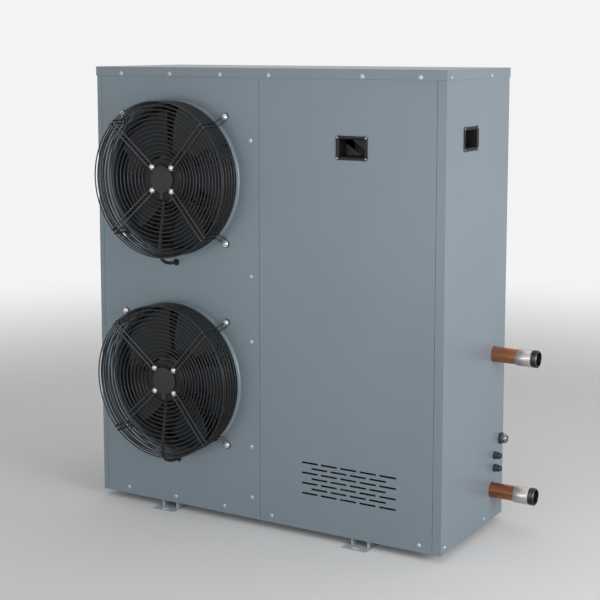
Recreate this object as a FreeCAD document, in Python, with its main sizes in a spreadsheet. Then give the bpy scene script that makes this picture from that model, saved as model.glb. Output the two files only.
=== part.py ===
# Twin-fan air-to-water heat pump in a sheet-metal casing
# X to the right along the front, Y to the back, Z up; the origin is on the floor, midway between
# the four anchor slots. Millimetres.
import FreeCAD, Part
import math
import os
import re
import Sketcher

sizes = {
    # casing
    "casingWidth": 1100, "casingDepth": 406, "casingHeight": 1250, "panelFoot": 20, "sheetMetal": 1.5,
    "seamGap": 1, "seamPlace": -1, "leftReturn": 15, "rightReturn": 25, "panelReturn": 12,
    "coverOverhang": 2, "coverLip": 26, "panFlange": 30, "postWidth": 22, "rearReturn": 20,
    "cornerStrip": 63, "drainRadius": 12, "drainSpacing": 300, "partitionPlace": 0, "partitionFlange": 20,
    # feet
    "railSpacing": 624, "railWidth": 74, "channelWidth": 46, "railSheet": 2.5, "railHeight": 19,
    "tabReach": 32, "slotLength": 24, "slotWidth": 11, "slotInset": 14.5, "tabCorner": 6,
    # fan openings and air ducts
    "fanPlace": -282.5, "lowerFanHeight": "=panelFoot+0.2984*casingHeight",
    "upperFanHeight": "=panelFoot+0.754*casingHeight", "openingRadius": 215,
    "collarDepth": 10, "collarFlare": 3, "throatRadius": 207, "ductFlange": 228, "ductLength": 62,
    "ductFlare": 12, "grommetHole": 7, "grommetRim": 3, "grommetFlange": 2, "cableDrop": 239,
    "cableShift": 5,
    # fan guards
    "guardRadius": 216, "guardReach": 82, "wireSize": 4, "wireSpacing": 14, "ringCount": 8,
    "firstRing": 64, "sideRingCount": 3, "boltCircle": 246, "hubPlateRadius": 60, "hubPlateBore": 38.5,
    "hubPlateSheet": 3, "hubReach": 56, "boltRadius": 3.5, "boltHead": 9, "boltHeadHeight": 5,
    "footMargin": 2, "spokeGap": 1,
    # external-rotor motors
    "flangeRadius": 58, "flangeThickness": 6, "neckRadius": 34, "coreRadius": 62, "coreLength": 64,
    "canRadius": 69, "canWall": 4, "canEnd": 6, "canLength": 80, "rotorSetback": 12, "shaftRadius": 8.45,
    "runningFit": 0.05, "bearingRadius": 15, "bearingWidth": 9, "stepDepth": 3, "capRadius": 38,
    "capThickness": 6, "capTabWidth": 12, "capTabReach": 54, "hubScrewPlace": 33, "hubScrewHead": 8,
    "hubScrewHeight": 5,
    # impellers
    "bladeCount": 5, "bladeTip": 203, "bladeThickness": 3, "hubRingWall": 4, "hubRingLength": 36,
    "hubDisc": 2.5, "hubDiscBore": 30, "bladeFront": 4, "rootChord": 52, "rootRise": 26,
    "midRadius": 135, "midChord": 96, "midRise": 44, "midSweep": 10, "tipChord": 144, "tipRise": 54,
    "tipSweep": 32, "bladeTrim": 9, "rootSeat": 1,
    # motor cables
    "cableRadius": 4.5, "cableGap": 0.5, "cableEnd": 22, "connectorWidth": 30, "connectorHeight": 22,
    "connectorDepth": 24,
    # coil and its guards
    "coilThickness": 44, "coilGap": 13, "coilBend": 80, "coilTop": 8, "coilFront": 136, "coilEnd": 25,
    "headerRadius": 11, "headerReach": 20, "headerFoot": 90, "stubRadius": 5, "stubCount": 6,
    "headerOutlet": 24, "finPitch": 54, "finGroove": 7, "finGrooveWidth": 5,
    "meshWire": 4, "meshPitch": 62, "meshBars": 7, "meshLap": 15,
    # handles
    "handleWidth": 93, "handleHeight": 63, "handleFlange": 2, "handleRim": 7, "handleDepth": 32,
    "handleWall": 2, "frontHandlePlace": 282.5, "frontHandleDrop": 204, "sideHandlePlace": -51.5,
    "sideHandleDrop": 179, "handleScrewInset": 4.5, "handleScrewHead": 2.6, "handleScrewHeight": 1.5,
    # louvre slots
    "louvreLength": 49, "louvreHeight": 5, "louvrePitch": 59, "louvreRow": 14.25, "louvreTop": 207,
    "louvreStart": 133.7, "louvreCount": 5, "louvreRows": 4,
    # screws
    "screwHead": 4.6, "screwHeight": 2.4, "lipScrewDrop": 19, "footScrewRise": 19, "seamScrewInset": 27,
    "sideScrewRise": 17, "screwPitch": 168.3, "lipScrewInset": 89, "lipScrewSeamInset": 31.7,
    "lipScrewShift": 31.2, "lipScrewEndInset": 71.3, "footScrewInset": 93, "footScrewSeamInset": 37.4,
    "footScrewEndInset": 63, "seamScrewFoot": 80, "seamScrewBelow": 168, "seamScrewAbove": 129,
    "seamScrewMiddle": 703, "seamScrewDrop": 195, "sideScrewFront": 23, "sideScrewBack": 127,
    # water side
    "pipePlace": 128, "upperPipeHeight": 490, "lowerPipeHeight": 106, "pipeRadius": 21, "pipeWall": 1.5,
    "pipeReach": 70, "nippleLength": 60, "threadRadius": 23.9, "threadBore": 19, "threadChamfer": 1.5,
    "socketDepth": 12, "pipeClearance": 1,
    # cable glands
    "largeGlandPlace": 182, "largeGlandHeight": 240, "largeGlandRadius": 16, "largeGlandNose": 12.8,
    "largeGlandBore": 7, "glandReach": 22, "smallGlandPlace": 142, "smallGlandHeight": 183,
    "smallGlandDrop": 36, "smallGlandRadius": 10, "smallGlandNose": 8, "smallGlandBore": 4.5,
    "glandNut": 8, "glandWall": 3, "glandShank": 8,
    # compressor and accumulator
    "compressorPlace": 260, "compressorDepth": 20, "compressorRadius": 78, "compressorHeight": 400,
    "mountHeight": 22, "mountRadius": 14, "mountSpread": 76, "footPlate": 190, "footSheet": 4,
    "domeHeight": 28, "domeTop": 42, "accumulatorPlace": 430, "accumulatorDepth": -90,
    "accumulatorRadius": 46, "accumulatorHeight": 290, "accumulatorDome": 20, "accumulatorTop": 23,
    "accumulatorPort": 14, "suctionPort": 332, "suctionPortReach": 14, "suctionPortRadius": 12,
    # plate heat exchanger
    "exchangerPlace": 395, "exchangerThickness": 80, "exchangerWidth": 120, "exchangerHeight": 553,
    "exchangerCorner": 24,
    # four-way valve and refrigerant pipes
    "valveHeight": 640, "valveRadius": 17, "valveLength": 110, "gasPipeRadius": 8, "liquidPipeRadius": 5,
    "stubPitch": 34, "stubReach": 10, "stubWall": 1, "expansionHeight": 330, "expansionPlace": 150,
    "expansionInset": 60, "expansionRadius": 16, "expansionLength": 60, "pipeBend": 2.5,
    "suctionRise": 50, "exchangerPipeRise": 85, "coilPipeRise": 100, "gasPortHeight": 490,
    "gasPortReach": 40, "liquidPortHeight": 120, "liquidPortReach": 60, "coilLiquidRise": 50,
    "coilLiquidReach": 65, "pipeGap": 1,
    # electrical box
    "boxWidth": 440, "boxDepth": 120, "boxHeight": 320, "boxDrop": 370, "boxSetback": 52,
    "boardThickness": 12, "boardMargin": 30, "terminalHeight": 50, "terminalDepth": 40,
}

doc = FreeCAD.newDocument("HeatPump")
sheet = doc.addObject("Spreadsheet::Sheet", "Sizes")
for row, (alias, number) in enumerate(sizes.items(), 1):
    sheet.set(f"A{row}", alias)
    sheet.set(f"B{row}", str(number))
    sheet.setAlias(f"B{row}", alias)
doc.recompute()


class Values:
    """The sheet's numbers, for the few pieces that are shaped in code."""

    def __getattr__(self, alias):
        return float(sheet.get(alias))


size = Values()

# Formulas that many pieces share
front, back = "(-casingDepth/2)", "(casingDepth/2)"
left, right = "(-casingWidth/2)", "(casingWidth/2)"
top = "(panelFoot+casingHeight)"
coverUnder = "(panelFoot+casingHeight-sheetMetal)"
panTop = "(railHeight+sheetMetal)"
returnFoot = "(railHeight+panFlange)"
panelHeight = "(casingHeight-sheetMetal)"
valveTop = "(valveHeight+valveRadius+stubReach)"
coilPipeHeight = f"({valveTop}+coilPipeRise)"
fanHeights = {"upper": "upperFanHeight", "lower": "lowerFanHeight"}
frontHandleHeight, sideHandleHeight = f"({top}-frontHandleDrop)", f"({top}-sideHandleDrop)"
boxFoot = f"({top}-boxDrop)"
smallGlandHeights = ("(smallGlandHeight-smallGlandDrop/2)", "(smallGlandHeight+smallGlandDrop/2)")


def named(formula):
    """Points each size in a formula at its cell of the sheet."""
    return re.sub(r"[A-Za-z]\w*", lambda word: "Sizes." + word[0] if word[0] in sizes else word[0],
                  str(formula))


def bind(thing, **formulas):
    for place, formula in formulas.items():
        thing.setExpression(place.replace("_", "."), named(formula))
    return thing


def locate(thing, x=0, y=0, z=0, turn=None):
    """Places a piece; turn is the axis that its own Z axis is turned to."""
    if turn == "Y":
        thing.Placement.Rotation = FreeCAD.Rotation(FreeCAD.Vector(1, 0, 0), -90)
    if turn == "X":
        thing.Placement.Rotation = FreeCAD.Rotation(FreeCAD.Vector(0, 1, 0), 90)
    return bind(thing, Placement_Base_x=x, Placement_Base_y=y, Placement_Base_z=z)


# Sketches and features of the bodies

def makeBody(label):
    return doc.addObject("PartDesign::Body", label)


def originPart(body, role):
    return next(item for item in body.Origin.OriginFeatures if item.Role == role)


def makeSketch(body, role, name, offset=None):
    sketch = body.newObject("Sketcher::SketchObject", name)
    sketch.AttachmentSupport = (originPart(body, role), [""])
    sketch.MapMode = "FlatFace"
    if offset:
        sketch.setExpression("AttachmentOffset.Base.z", named(offset))
    return sketch


def pin(sketch, geometry, point, x, y):
    """Ties a point of the sketch to its place with one formula for each direction."""
    for kind, formula, axis in (("DistanceX", x, -2), ("DistanceY", y, -1)):
        if str(formula) == "0":
            sketch.addConstraint(Sketcher.Constraint("PointOnObject", geometry, point, axis))
        else:
            place = sketch.addConstraint(Sketcher.Constraint(kind, -1, 1, geometry, point, 1.0))
            sketch.setExpression(f"Constraints[{place}]", named(formula))


def addOutline(sketch, corners):
    first, count = sketch.GeometryCount, len(corners)
    angles = [2 * math.pi * step / count for step in range(count)]
    points = [FreeCAD.Vector(10 * math.cos(a), 10 * math.sin(a), 0) for a in angles]
    for step in range(count):
        sketch.addGeometry(Part.LineSegment(points[step], points[(step + 1) % count]), False)
    for step in range(count):
        sketch.addConstraint(
            Sketcher.Constraint("Coincident", first + step, 2, first + (step + 1) % count, 1))
    for step, (x, y) in enumerate(corners):
        pin(sketch, first + step, 1, x, y)


def addRectangle(sketch, x0, y0, x1, y1):
    addOutline(sketch, [(x0, y0), (x1, y0), (x1, y1), (x0, y1)])


def addCircle(sketch, x, y, radius):
    centre, normal = FreeCAD.Vector(1, 1, 0), FreeCAD.Vector(0, 0, 1)
    circle = sketch.addGeometry(Part.Circle(centre, normal, 1), False)
    pin(sketch, circle, 3, x, y)
    place = sketch.addConstraint(Sketcher.Constraint("Radius", circle, 1.0))
    sketch.setExpression(f"Constraints[{place}]", named(radius))


def pad(body, sketch, length, name, reverse=False):
    feature = body.newObject("PartDesign::Pad", name)
    feature.Profile = sketch
    feature.Reversed = reverse
    return bind(feature, Length=length)


def cut(body, sketch, name):
    """A pocket through everything, both ways from the sketch."""
    feature = body.newObject("PartDesign::Pocket", name)
    feature.Profile = sketch
    feature.Type = "ThroughAll"
    feature.Midplane = True
    return feature


def spin(body, sketch, name, kind="Revolution", axis="V_Axis"):
    feature = body.newObject("PartDesign::" + kind, name)
    feature.Profile = sketch
    feature.ReferenceAxis = (sketch, [axis])
    feature.Angle = 360
    return feature


def turned(label, corners):
    """A turned piece about its own Z axis; corners are (radius, height)."""
    body = makeBody(label)
    sketch = makeSketch(body, "XZ_Plane", label + "Profile")
    addOutline(sketch, corners)
    spin(body, sketch, label + "Turned")
    return body


def roundUpright(body, feature, name, places, radius):
    """Rounds the upright edges at the given (x, y) places."""
    doc.recompute()
    names = []
    for number, edge in enumerate(feature.Shape.Edges, 1):
        ends = [vertex.Point for vertex in edge.Vertexes]
        if len(ends) == 2 and abs(ends[0].z - ends[1].z) > 1:
            if any(abs(ends[0].x - x) < 0.1 and abs(ends[0].y - y) < 0.1 for x, y in places):
                names.append(f"Edge{number}")
    bend = body.newObject("PartDesign::Fillet", name)
    bend.Base = (feature, names)
    return bind(bend, Radius=radius)


# Part primitives

def makeBox(label, x0, y0, z0, x1, y1, z1):
    box = doc.addObject("Part::Box", label)
    bind(box, Length=f"({x1})-({x0})", Width=f"({y1})-({y0})", Height=f"({z1})-({z0})")
    return locate(box, x0, y0, z0)


def makeRod(label, x, y, z, radius, length, along="Z"):
    rod = doc.addObject("Part::Cylinder", label)
    bind(rod, Radius=radius, Height=length)
    return locate(rod, x, y, z, along)


def makePrism(label, x, y, z, radius, length, along="Z", sides=6):
    prism = doc.addObject("Part::Prism", label)
    prism.Polygon = sides
    bind(prism, Circumradius=radius, Height=length)
    return locate(prism, x, y, z, along)


def makeCut(label, base, tool):
    result = doc.addObject("Part::Cut", label)
    result.Base, result.Tool = base, tool
    return result


def makeFuse(label, pieces):
    result = doc.addObject("Part::MultiFuse", label)
    result.Shapes = pieces
    return result


def makeGroup(label, pieces):
    """Separate solids that share one node."""
    result = doc.addObject("Part::Compound", label)
    result.Links = pieces
    return result


def makeFeature(label, shape, placement=None):
    result = doc.addObject("Part::Feature", label)
    result.Shape = shape
    if placement:
        result.Placement = placement
    return result


nodes = []


def keep(*pieces):
    nodes.extend(pieces)


# Feet: two rails under the pan, each a flat strap with a channel on it and a slotted tab at each end

def makeRail(label, side):
    x = f"({side}*railSpacing/2)"
    body = makeBody(label)
    strap = makeSketch(body, "XY_Plane", label + "Strap")
    addRectangle(strap, f"{x}-railWidth/2", f"{front}-tabReach", f"{x}+railWidth/2", f"{back}+tabReach")
    strapPad = pad(body, strap, "railSheet", label + "StrapPad")
    middle, half, end = side * size.railSpacing / 2, size.railWidth / 2, size.casingDepth / 2 + size.tabReach
    corners = [(middle + across * half, along * end) for across in (-1, 1) for along in (-1, 1)]
    roundUpright(body, strapPad, label + "Corners", corners, "tabCorner")
    middles = makeSketch(body, "XY_Plane", label + "SlotMiddles")
    ends = makeSketch(body, "XY_Plane", label + "SlotEnds")
    reach = "(slotLength/2-slotWidth/2)"
    for y in (f"({front}-tabReach+slotInset)", f"({back}+tabReach-slotInset)"):
        addRectangle(middles, f"{x}-{reach}", f"{y}-slotWidth/2", f"{x}+{reach}", f"{y}+slotWidth/2")
        addCircle(ends, f"{x}-{reach}", y, "slotWidth/2")
        addCircle(ends, f"{x}+{reach}", y, "slotWidth/2")
    cut(body, middles, label + "SlotMiddleCut")
    cut(body, ends, label + "SlotEndCut")
    webs = makeSketch(body, "XY_Plane", label + "Webs")
    for hand in (-1, 1):
        inner, outer = f"({x}+({hand}*channelWidth/2))", f"({x}+({hand}*(channelWidth/2+railSheet)))"
        addRectangle(webs, inner, f"{front}+sheetMetal", outer, f"{back}-sheetMetal")
    pad(body, webs, "railHeight", label + "WebPad")
    return body


keep(makeRail("foot_rail_left", -1), makeRail("foot_rail_right", 1))


# Pan: a tray with upturned edges and drain holes under the coil

def makePan():
    body = makeBody("base_pan")
    inset = "sheetMetal"
    floor = makeSketch(body, "XY_Plane", "PanFloor", "railHeight")
    addRectangle(floor, f"{left}+{inset}", f"{front}+{inset}", f"{right}-{inset}", f"{back}-{inset}")
    for step in (-1, 0, 1):
        addCircle(floor, f"fanPlace+({step}*drainSpacing/2)", f"{back}-coilGap-coilThickness/2",
                  "drainRadius")
    pad(body, floor, "sheetMetal", "PanFloorPad")
    edge = makeSketch(body, "XY_Plane", "PanEdge", "railHeight")
    addRectangle(edge, f"{left}+{inset}", f"{front}+{inset}", f"{right}-{inset}", f"{back}-{inset}")
    addRectangle(edge, f"{left}+2*{inset}", f"{front}+2*{inset}", f"{right}-2*{inset}", f"{back}-2*{inset}")
    pad(body, edge, "panFlange", "PanEdgePad")
    return body


keep(makePan())


# Posts in the two right corners, between the pan and the cover

def makePost(label, side):
    body = makeBody(label)
    corner, reach = f"({side}*({back}-2*sheetMetal))", f"({side}*({back}-2*sheetMetal-postWidth))"
    inner = f"({side}*({back}-3*sheetMetal))"
    edge = f"({right}-2*sheetMetal)"
    sketch = makeSketch(body, "XY_Plane", label + "Section", panTop)
    addOutline(sketch, [(edge, corner), (f"{edge}-postWidth", corner), (f"{edge}-postWidth", inner),
                        (f"{edge}-sheetMetal", inner), (f"{edge}-sheetMetal", reach), (edge, reach)])
    pad(body, sketch, f"{coverUnder}-{panTop}", label + "Pad")
    return body


def makeRearPost():
    """The rear post is notched for the large cable gland."""
    body = makePost("post_rear_right", 1)
    notch = makeSketch(body, "YZ_Plane", "GlandNotch")
    addCircle(notch, "largeGlandPlace", "largeGlandHeight", "largeGlandBore+glandWall+pipeClearance")
    cut(body, notch, "GlandNotchCut")
    return body


keep(makePost("post_front_right", -1), makeRearPost())


# Outer sheets

def makeCornerPanel(label, side, frontWidth):
    """An angle at a left corner: frontWidth on the front or back, cornerStrip on the left side."""
    body = makeBody(label)
    outer, inner = f"({side}*{back})", f"({side}*({back}-sheetMetal))"
    end = f"({side}*({back}-cornerStrip))"
    sketch = makeSketch(body, "XY_Plane", label + "Section", "panelFoot")
    addOutline(sketch, [(left, outer), (f"{left}+{frontWidth}", outer), (f"{left}+{frontWidth}", inner),
                        (f"{left}+sheetMetal", inner), (f"{left}+sheetMetal", end), (left, end)])
    pad(body, sketch, panelHeight, label + "Pad")
    return body


keep(makeCornerPanel("corner_panel_front", -1, "leftReturn"),
     makeCornerPanel("corner_panel_rear", 1, "cornerStrip"))


def addReturns(body, label, x0, x1):
    """Flanges turned back along both upright edges of a front sheet, from the pan's edge up."""
    sketch = makeSketch(body, "XY_Plane", label + "Returns", returnFoot)
    for a, b in ((x0, f"{x0}+sheetMetal"), (f"{x1}-sheetMetal", x1)):
        addRectangle(sketch, a, f"{front}+sheetMetal", b, f"{front}+panelReturn")
    pad(body, sketch, f"{coverUnder}-{returnFoot}", label + "ReturnPad")


fanPanelLeft = f"({left}+leftReturn+seamGap)"
fanPanelRight = "(seamPlace-seamGap/2)"
servicePanelLeft = "(seamPlace+seamGap/2)"
servicePanelRight = f"({right}-rightReturn-seamGap)"


def makeFanPanel():
    body = makeBody("fan_panel")
    sketch = makeSketch(body, "XZ_Plane", "FanSheet", f"{back}-sheetMetal")
    addRectangle(sketch, fanPanelLeft, "panelFoot", fanPanelRight, coverUnder)
    for height in fanHeights.values():
        addCircle(sketch, "fanPlace", height, "openingRadius")
        addCircle(sketch, "fanPlace+cableShift", f"{height}-cableDrop", "grommetHole")
    pad(body, sketch, "sheetMetal", "FanSheetPad")
    addReturns(body, "Fan", fanPanelLeft, fanPanelRight)
    for name, height in fanHeights.items():
        rim = makeSketch(body, "XY_Plane", name + "Collar", height)
        x = "(fanPlace+openingRadius)"
        addOutline(rim, [(x, front), (f"{x}+sheetMetal+collarFlare", front),
                         (f"{x}+sheetMetal", f"{front}-collarFlare"),
                         (f"{x}+sheetMetal", f"{front}-collarDepth"), (x, f"{front}-collarDepth")])
        line = Part.LineSegment(FreeCAD.Vector(0, 0, 0), FreeCAD.Vector(0, -9, 0))
        axis = rim.addGeometry(line, True)
        pin(rim, axis, 1, "fanPlace", "0")
        pin(rim, axis, 2, "fanPlace", front)
        spin(body, rim, name + "CollarTurned", axis="Axis0")
    return body


def makeServicePanel():
    body = makeBody("service_panel")
    sketch = makeSketch(body, "XZ_Plane", "ServiceSheet", f"{back}-sheetMetal")
    addRectangle(sketch, servicePanelLeft, "panelFoot", servicePanelRight, coverUnder)
    halfWidth, halfHeight = "(handleWidth/2-handleRim)", "(handleHeight/2-handleRim)"
    addRectangle(sketch, f"frontHandlePlace-{halfWidth}", f"{frontHandleHeight}-{halfHeight}",
                 f"frontHandlePlace+{halfWidth}", f"{frontHandleHeight}+{halfHeight}")
    pad(body, sketch, "sheetMetal", "ServiceSheetPad")
    addReturns(body, "Service", servicePanelLeft, servicePanelRight)
    for name, indent, less in (("Long", 0, 0), ("Short", 1, 1)):
        row = makeSketch(body, "XZ_Plane", name + "LouvreRow", back)
        z = f"(louvreTop-{indent}*louvreRow)"
        for slot in range(int(size.louvreCount) - less):
            x = f"(louvreStart+({slot}+{indent}/2)*louvrePitch)"
            addRectangle(row, x, f"{z}-louvreHeight/2", f"{x}+louvreLength", f"{z}+louvreHeight/2")
        pocket = body.newObject("PartDesign::Pocket", name + "LouvrePocket")
        pocket.Profile = row
        bind(pocket, Length="2*sheetMetal")
        rows = body.newObject("PartDesign::LinearPattern", name + "LouvreRows")
        rows.Originals = [pocket]
        rows.Direction = (originPart(body, "Z_Axis"), [""])
        rows.Reversed = True
        rows.Mode = "Extent"
        bind(rows, Length=f"2*louvreRow*(louvreRows-{less}-1)", Occurrences=f"louvreRows-{less}")
        body.Tip = rows
    return body


def makeSidePanel():
    body = makeBody("side_panel")
    sketch = makeSketch(body, "YZ_Plane", "SideSheet", f"{right}-sheetMetal")
    addRectangle(sketch, front, "panelFoot", back, coverUnder)
    halfWidth, halfHeight = "(handleWidth/2-handleRim)", "(handleHeight/2-handleRim)"
    addRectangle(sketch, f"sideHandlePlace-{halfWidth}", f"{sideHandleHeight}-{halfHeight}",
                 f"sideHandlePlace+{halfWidth}", f"{sideHandleHeight}+{halfHeight}")
    for height in ("upperPipeHeight", "lowerPipeHeight"):
        addCircle(sketch, "pipePlace", height, "pipeRadius+pipeClearance")
    addCircle(sketch, "largeGlandPlace", "largeGlandHeight", "largeGlandBore+glandWall")
    for height in smallGlandHeights:
        addCircle(sketch, "smallGlandPlace", height, "smallGlandBore+glandWall")
    pad(body, sketch, "sheetMetal", "SideSheetPad")
    edges = makeSketch(body, "XY_Plane", "SideReturns", "panelFoot")
    inside = f"({right}-sheetMetal)"
    addRectangle(edges, f"{right}-rightReturn", front, inside, f"{front}+sheetMetal")
    addRectangle(edges, f"{right}-rearReturn", f"{back}-sheetMetal", inside, back)
    pad(body, edges, panelHeight, "SideReturnPad")
    return body


def makeRearPanel():
    body = makeBody("rear_panel")
    sketch = makeSketch(body, "XY_Plane", "RearSection", "panelFoot")
    addRectangle(sketch, "partitionPlace+coilEnd", f"{back}-sheetMetal",
                 f"{right}-rearReturn-seamGap", back)
    pad(body, sketch, panelHeight, "RearPad")
    return body


def makeCover():
    body = makeBody("top_cover")
    x, y = "(casingWidth/2+coverOverhang)", "(casingDepth/2+coverOverhang)"
    sheetSketch = makeSketch(body, "XY_Plane", "CoverSheet", coverUnder)
    addRectangle(sheetSketch, f"-{x}", f"-{y}", x, y)
    pad(body, sheetSketch, "sheetMetal", "CoverSheetPad")
    lip = makeSketch(body, "XY_Plane", "CoverLip", f"{top}-coverLip")
    addRectangle(lip, f"-{x}", f"-{y}", x, y)
    addRectangle(lip, f"-{x}+sheetMetal", f"-{y}+sheetMetal", f"{x}-sheetMetal", f"{y}-sheetMetal")
    pad(body, lip, "coverLip", "CoverLipPad")
    return body


keep(makeFanPanel(), makeServicePanel(), makeSidePanel(), makeRearPanel(), makeCover())


# Partition between the fan side and the compressor side

def makePartition():
    body = makeBody("partition")
    sketch = makeSketch(body, "XY_Plane", "PartitionSection", panTop)
    near, wall = f"({front}+panelReturn)", "(partitionPlace+sheetMetal)"
    face = f"({back}-coilGap-coilThickness)"
    addOutline(sketch, [(wall, near), (wall, face), ("partitionPlace", face),
                        ("partitionPlace", f"{near}+sheetMetal"),
                        ("partitionPlace-partitionFlange", f"{near}+sheetMetal"),
                        ("partitionPlace-partitionFlange", near)])
    pad(body, sketch, f"{coverUnder}-{panTop}", "PartitionPad")
    return body


keep(makePartition())


# Coil: a finned block bent round the rear left corner, with a header at its end

def makeCoil():
    body = makeBody("coil_fins")
    outerX, outerY = f"({left}+coilGap)", f"({back}-coilGap)"
    innerX, innerY = f"({left}+coilGap+coilThickness)", f"({back}-coilGap-coilThickness)"
    end = "(partitionPlace+coilEnd)"
    sketch = makeSketch(body, "XY_Plane", "CoilSection", panTop)
    addOutline(sketch, [(outerX, "-coilFront"), (innerX, "-coilFront"), (innerX, innerY), (end, innerY),
                        (end, outerY), (outerX, outerY)])
    block = pad(body, sketch, f"{coverUnder}-{panTop}-coilTop", "CoilPad")
    x, y = -size.casingWidth / 2 + size.coilGap, size.casingDepth / 2 - size.coilGap
    outer = roundUpright(body, block, "CoilOuterBend", [(x, y)], "coilBend")
    inner = (x + size.coilThickness, y - size.coilThickness)
    roundUpright(body, outer, "CoilInnerBend", [inner], "coilBend-coilThickness")
    y = "(finPitch/2-coilFront)"
    straight = f"({outerY}-coilBend+coilFront)"
    addGrooves(body, "SideGrooves", "Y_Axis", straight, [
        (outerX, y, f"{outerX}+finGroove", f"{y}+finGrooveWidth"),
        (f"{innerX}-finGroove", y, innerX, f"{y}+finGrooveWidth")])
    x = f"({end}-finPitch/2)"
    straight = f"({end}-{outerX}-coilBend)"
    addGrooves(body, "RearGrooves", "X_Axis", straight, [
        (f"{x}-finGrooveWidth", f"{outerY}-finGroove", x, outerY),
        (f"{x}-finGrooveWidth", innerY, x, f"{innerY}+finGroove")])
    return body


def addGrooves(body, name, axis, straight, rectangles):
    """Upright grooves between the packs of fins, repeated along a straight run."""
    sketch = makeSketch(body, "XY_Plane", name + "Sketch", panTop)
    for corners in rectangles:
        addRectangle(sketch, *corners)
    pocket = cut(body, sketch, name + "Cut")
    grooves = body.newObject("PartDesign::LinearPattern", name)
    grooves.Originals = [pocket]
    grooves.Direction = (originPart(body, axis), [""])
    grooves.Reversed = axis == "X_Axis"
    grooves.Mode = "Extent"
    count = f"floor({straight}/finPitch)"
    bind(grooves, Length=f"finPitch*({count}-1)", Occurrences=count)
    body.Tip = grooves


def makeHeader():
    x, y = "(partitionPlace+coilEnd+headerReach)", f"({back}-coilGap-coilThickness/2)"
    foot, height = f"({panTop}+headerFoot)", f"({coverUnder}-{panTop}-coilTop-2*headerFoot)"
    pieces = [makeRod("HeaderPipe", x, y, foot, "headerRadius", height)]
    for step in range(int(size.stubCount)):
        z = f"({foot}+{height}*({step}+0.5)/stubCount)"
        pieces.append(makeRod(f"HeaderStub{step}", "partitionPlace+coilEnd", y, z, "stubRadius",
                              "headerReach", "X"))
    pieces.append(makeRod("HeaderOutlet", x, y, coilPipeHeight, "gasPipeRadius+stubWall",
                          "headerOutlet", "X"))
    return makeFuse("coil_header", pieces)


keep(makeCoil(), makeHeader())


# Wire guards over the coil: upright wires on level bars

def makeMesh(label, along, start, end, plane):
    """A flat guard; along is X or Y, plane the guard's face nearest the coil on the other axis."""
    count = round((end[1] - start[1]) / size.meshPitch)
    pieces = []

    def addBar(name, a0, a1, depth, z0, z1):
        bounds = (a0, depth, z0, a1, f"{depth}+meshWire/2", z1)
        if along == "Y":
            bounds = (depth, a0, z0, f"{depth}+meshWire/2", a1, z1)
        pieces.append(makeBox(label + name, *bounds))

    foot, height = f"({panTop}+panFlange)", f"({coverUnder}-{panTop}-panFlange-coverLip)"
    for bar in range(int(size.meshBars)):
        z = f"({foot}+{height}*{bar}/(meshBars-1))"
        addBar(f"Bar{bar}", start[0], end[0], f"{plane}", z, f"{z}+meshWire")
    for wire in range(count + 1):
        a = f"({start[0]}+meshLap+(({end[0]})-({start[0]})-2*meshLap-meshWire)*{wire}/{count})"
        addBar(f"Wire{wire}", a, f"{a}+meshWire", f"{plane}+meshWire/2", foot, f"{foot}+{height}+meshWire")
    return makeGroup(label, pieces)


leftStart = (f"({front}+cornerStrip-meshLap)", -size.casingDepth / 2 + size.cornerStrip)
leftEnd = (f"({back}-cornerStrip+meshLap)", size.casingDepth / 2 - size.cornerStrip)
rearStart = (f"({left}+cornerStrip-meshLap)", -size.casingWidth / 2 + size.cornerStrip)
rearEnd = ("(partitionPlace+coilEnd+meshLap)", size.partitionPlace + size.coilEnd)
keep(makeMesh("coil_guard_left", "Y", leftStart, leftEnd, f"({left}+sheetMetal)"),
     makeMesh("coil_guard_rear", "X", rearStart, rearEnd, f"({back}-sheetMetal-meshWire)"))


# Fans. Each is drawn about its own axis: its Z axis points to the back, with 0 on the front of the panel.

def atFan(piece, height):
    return locate(piece, "fanPlace", front, height, "Y")


def makeDuct(label, height):
    """Air duct on the back of the fan panel, flared at its inlet."""
    wall = "throatRadius+sheetMetal"
    return atFan(turned(label, [
        ("throatRadius", "sheetMetal"), ("ductFlange", "sheetMetal"), ("ductFlange", "2*sheetMetal"),
        (wall, "2*sheetMetal"), (wall, "ductLength-ductFlare"),
        (f"{wall}+ductFlare", "ductLength"), ("throatRadius+ductFlare", "ductLength"),
        ("throatRadius", "ductLength-ductFlare")]), height)


def makeStator(label, height):
    """Flange, neck and core that the guard carries; the bearings sit in its bore."""
    face, neck = "(-hubReach)", "(flangeThickness-hubReach)"
    core = "(rotorSetback-hubReach+canWall)"
    seat, bore = "bearingRadius", "(bearingRadius-stepDepth)"
    rear = f"({core}+coreLength)"
    return atFan(turned(label, [
        (seat, face), ("flangeRadius", face), ("flangeRadius", neck), ("neckRadius", neck),
        ("neckRadius", core), ("coreRadius", core), ("coreRadius", rear), (seat, rear),
        (seat, f"{rear}-bearingWidth"), (bore, f"{rear}-bearingWidth"),
        (bore, f"{core}+bearingWidth+stepDepth"), (seat, f"{core}+bearingWidth+stepDepth")]), height)


def makeRotor(label, height):
    """The motor's outer can, closed at the back, with its shaft."""
    rim = "(rotorSetback-hubReach)"
    end, inner = f"({rim}+canLength)", f"({rim}+canLength-canEnd)"
    return atFan(turned(label, [
        ("0", f"{rim}+stepDepth"), ("shaftRadius", f"{rim}+stepDepth"), ("shaftRadius", inner),
        ("canRadius-canWall", inner), ("canRadius-canWall", rim), ("canRadius", rim),
        ("canRadius", end), ("0", end)]), height)


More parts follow.
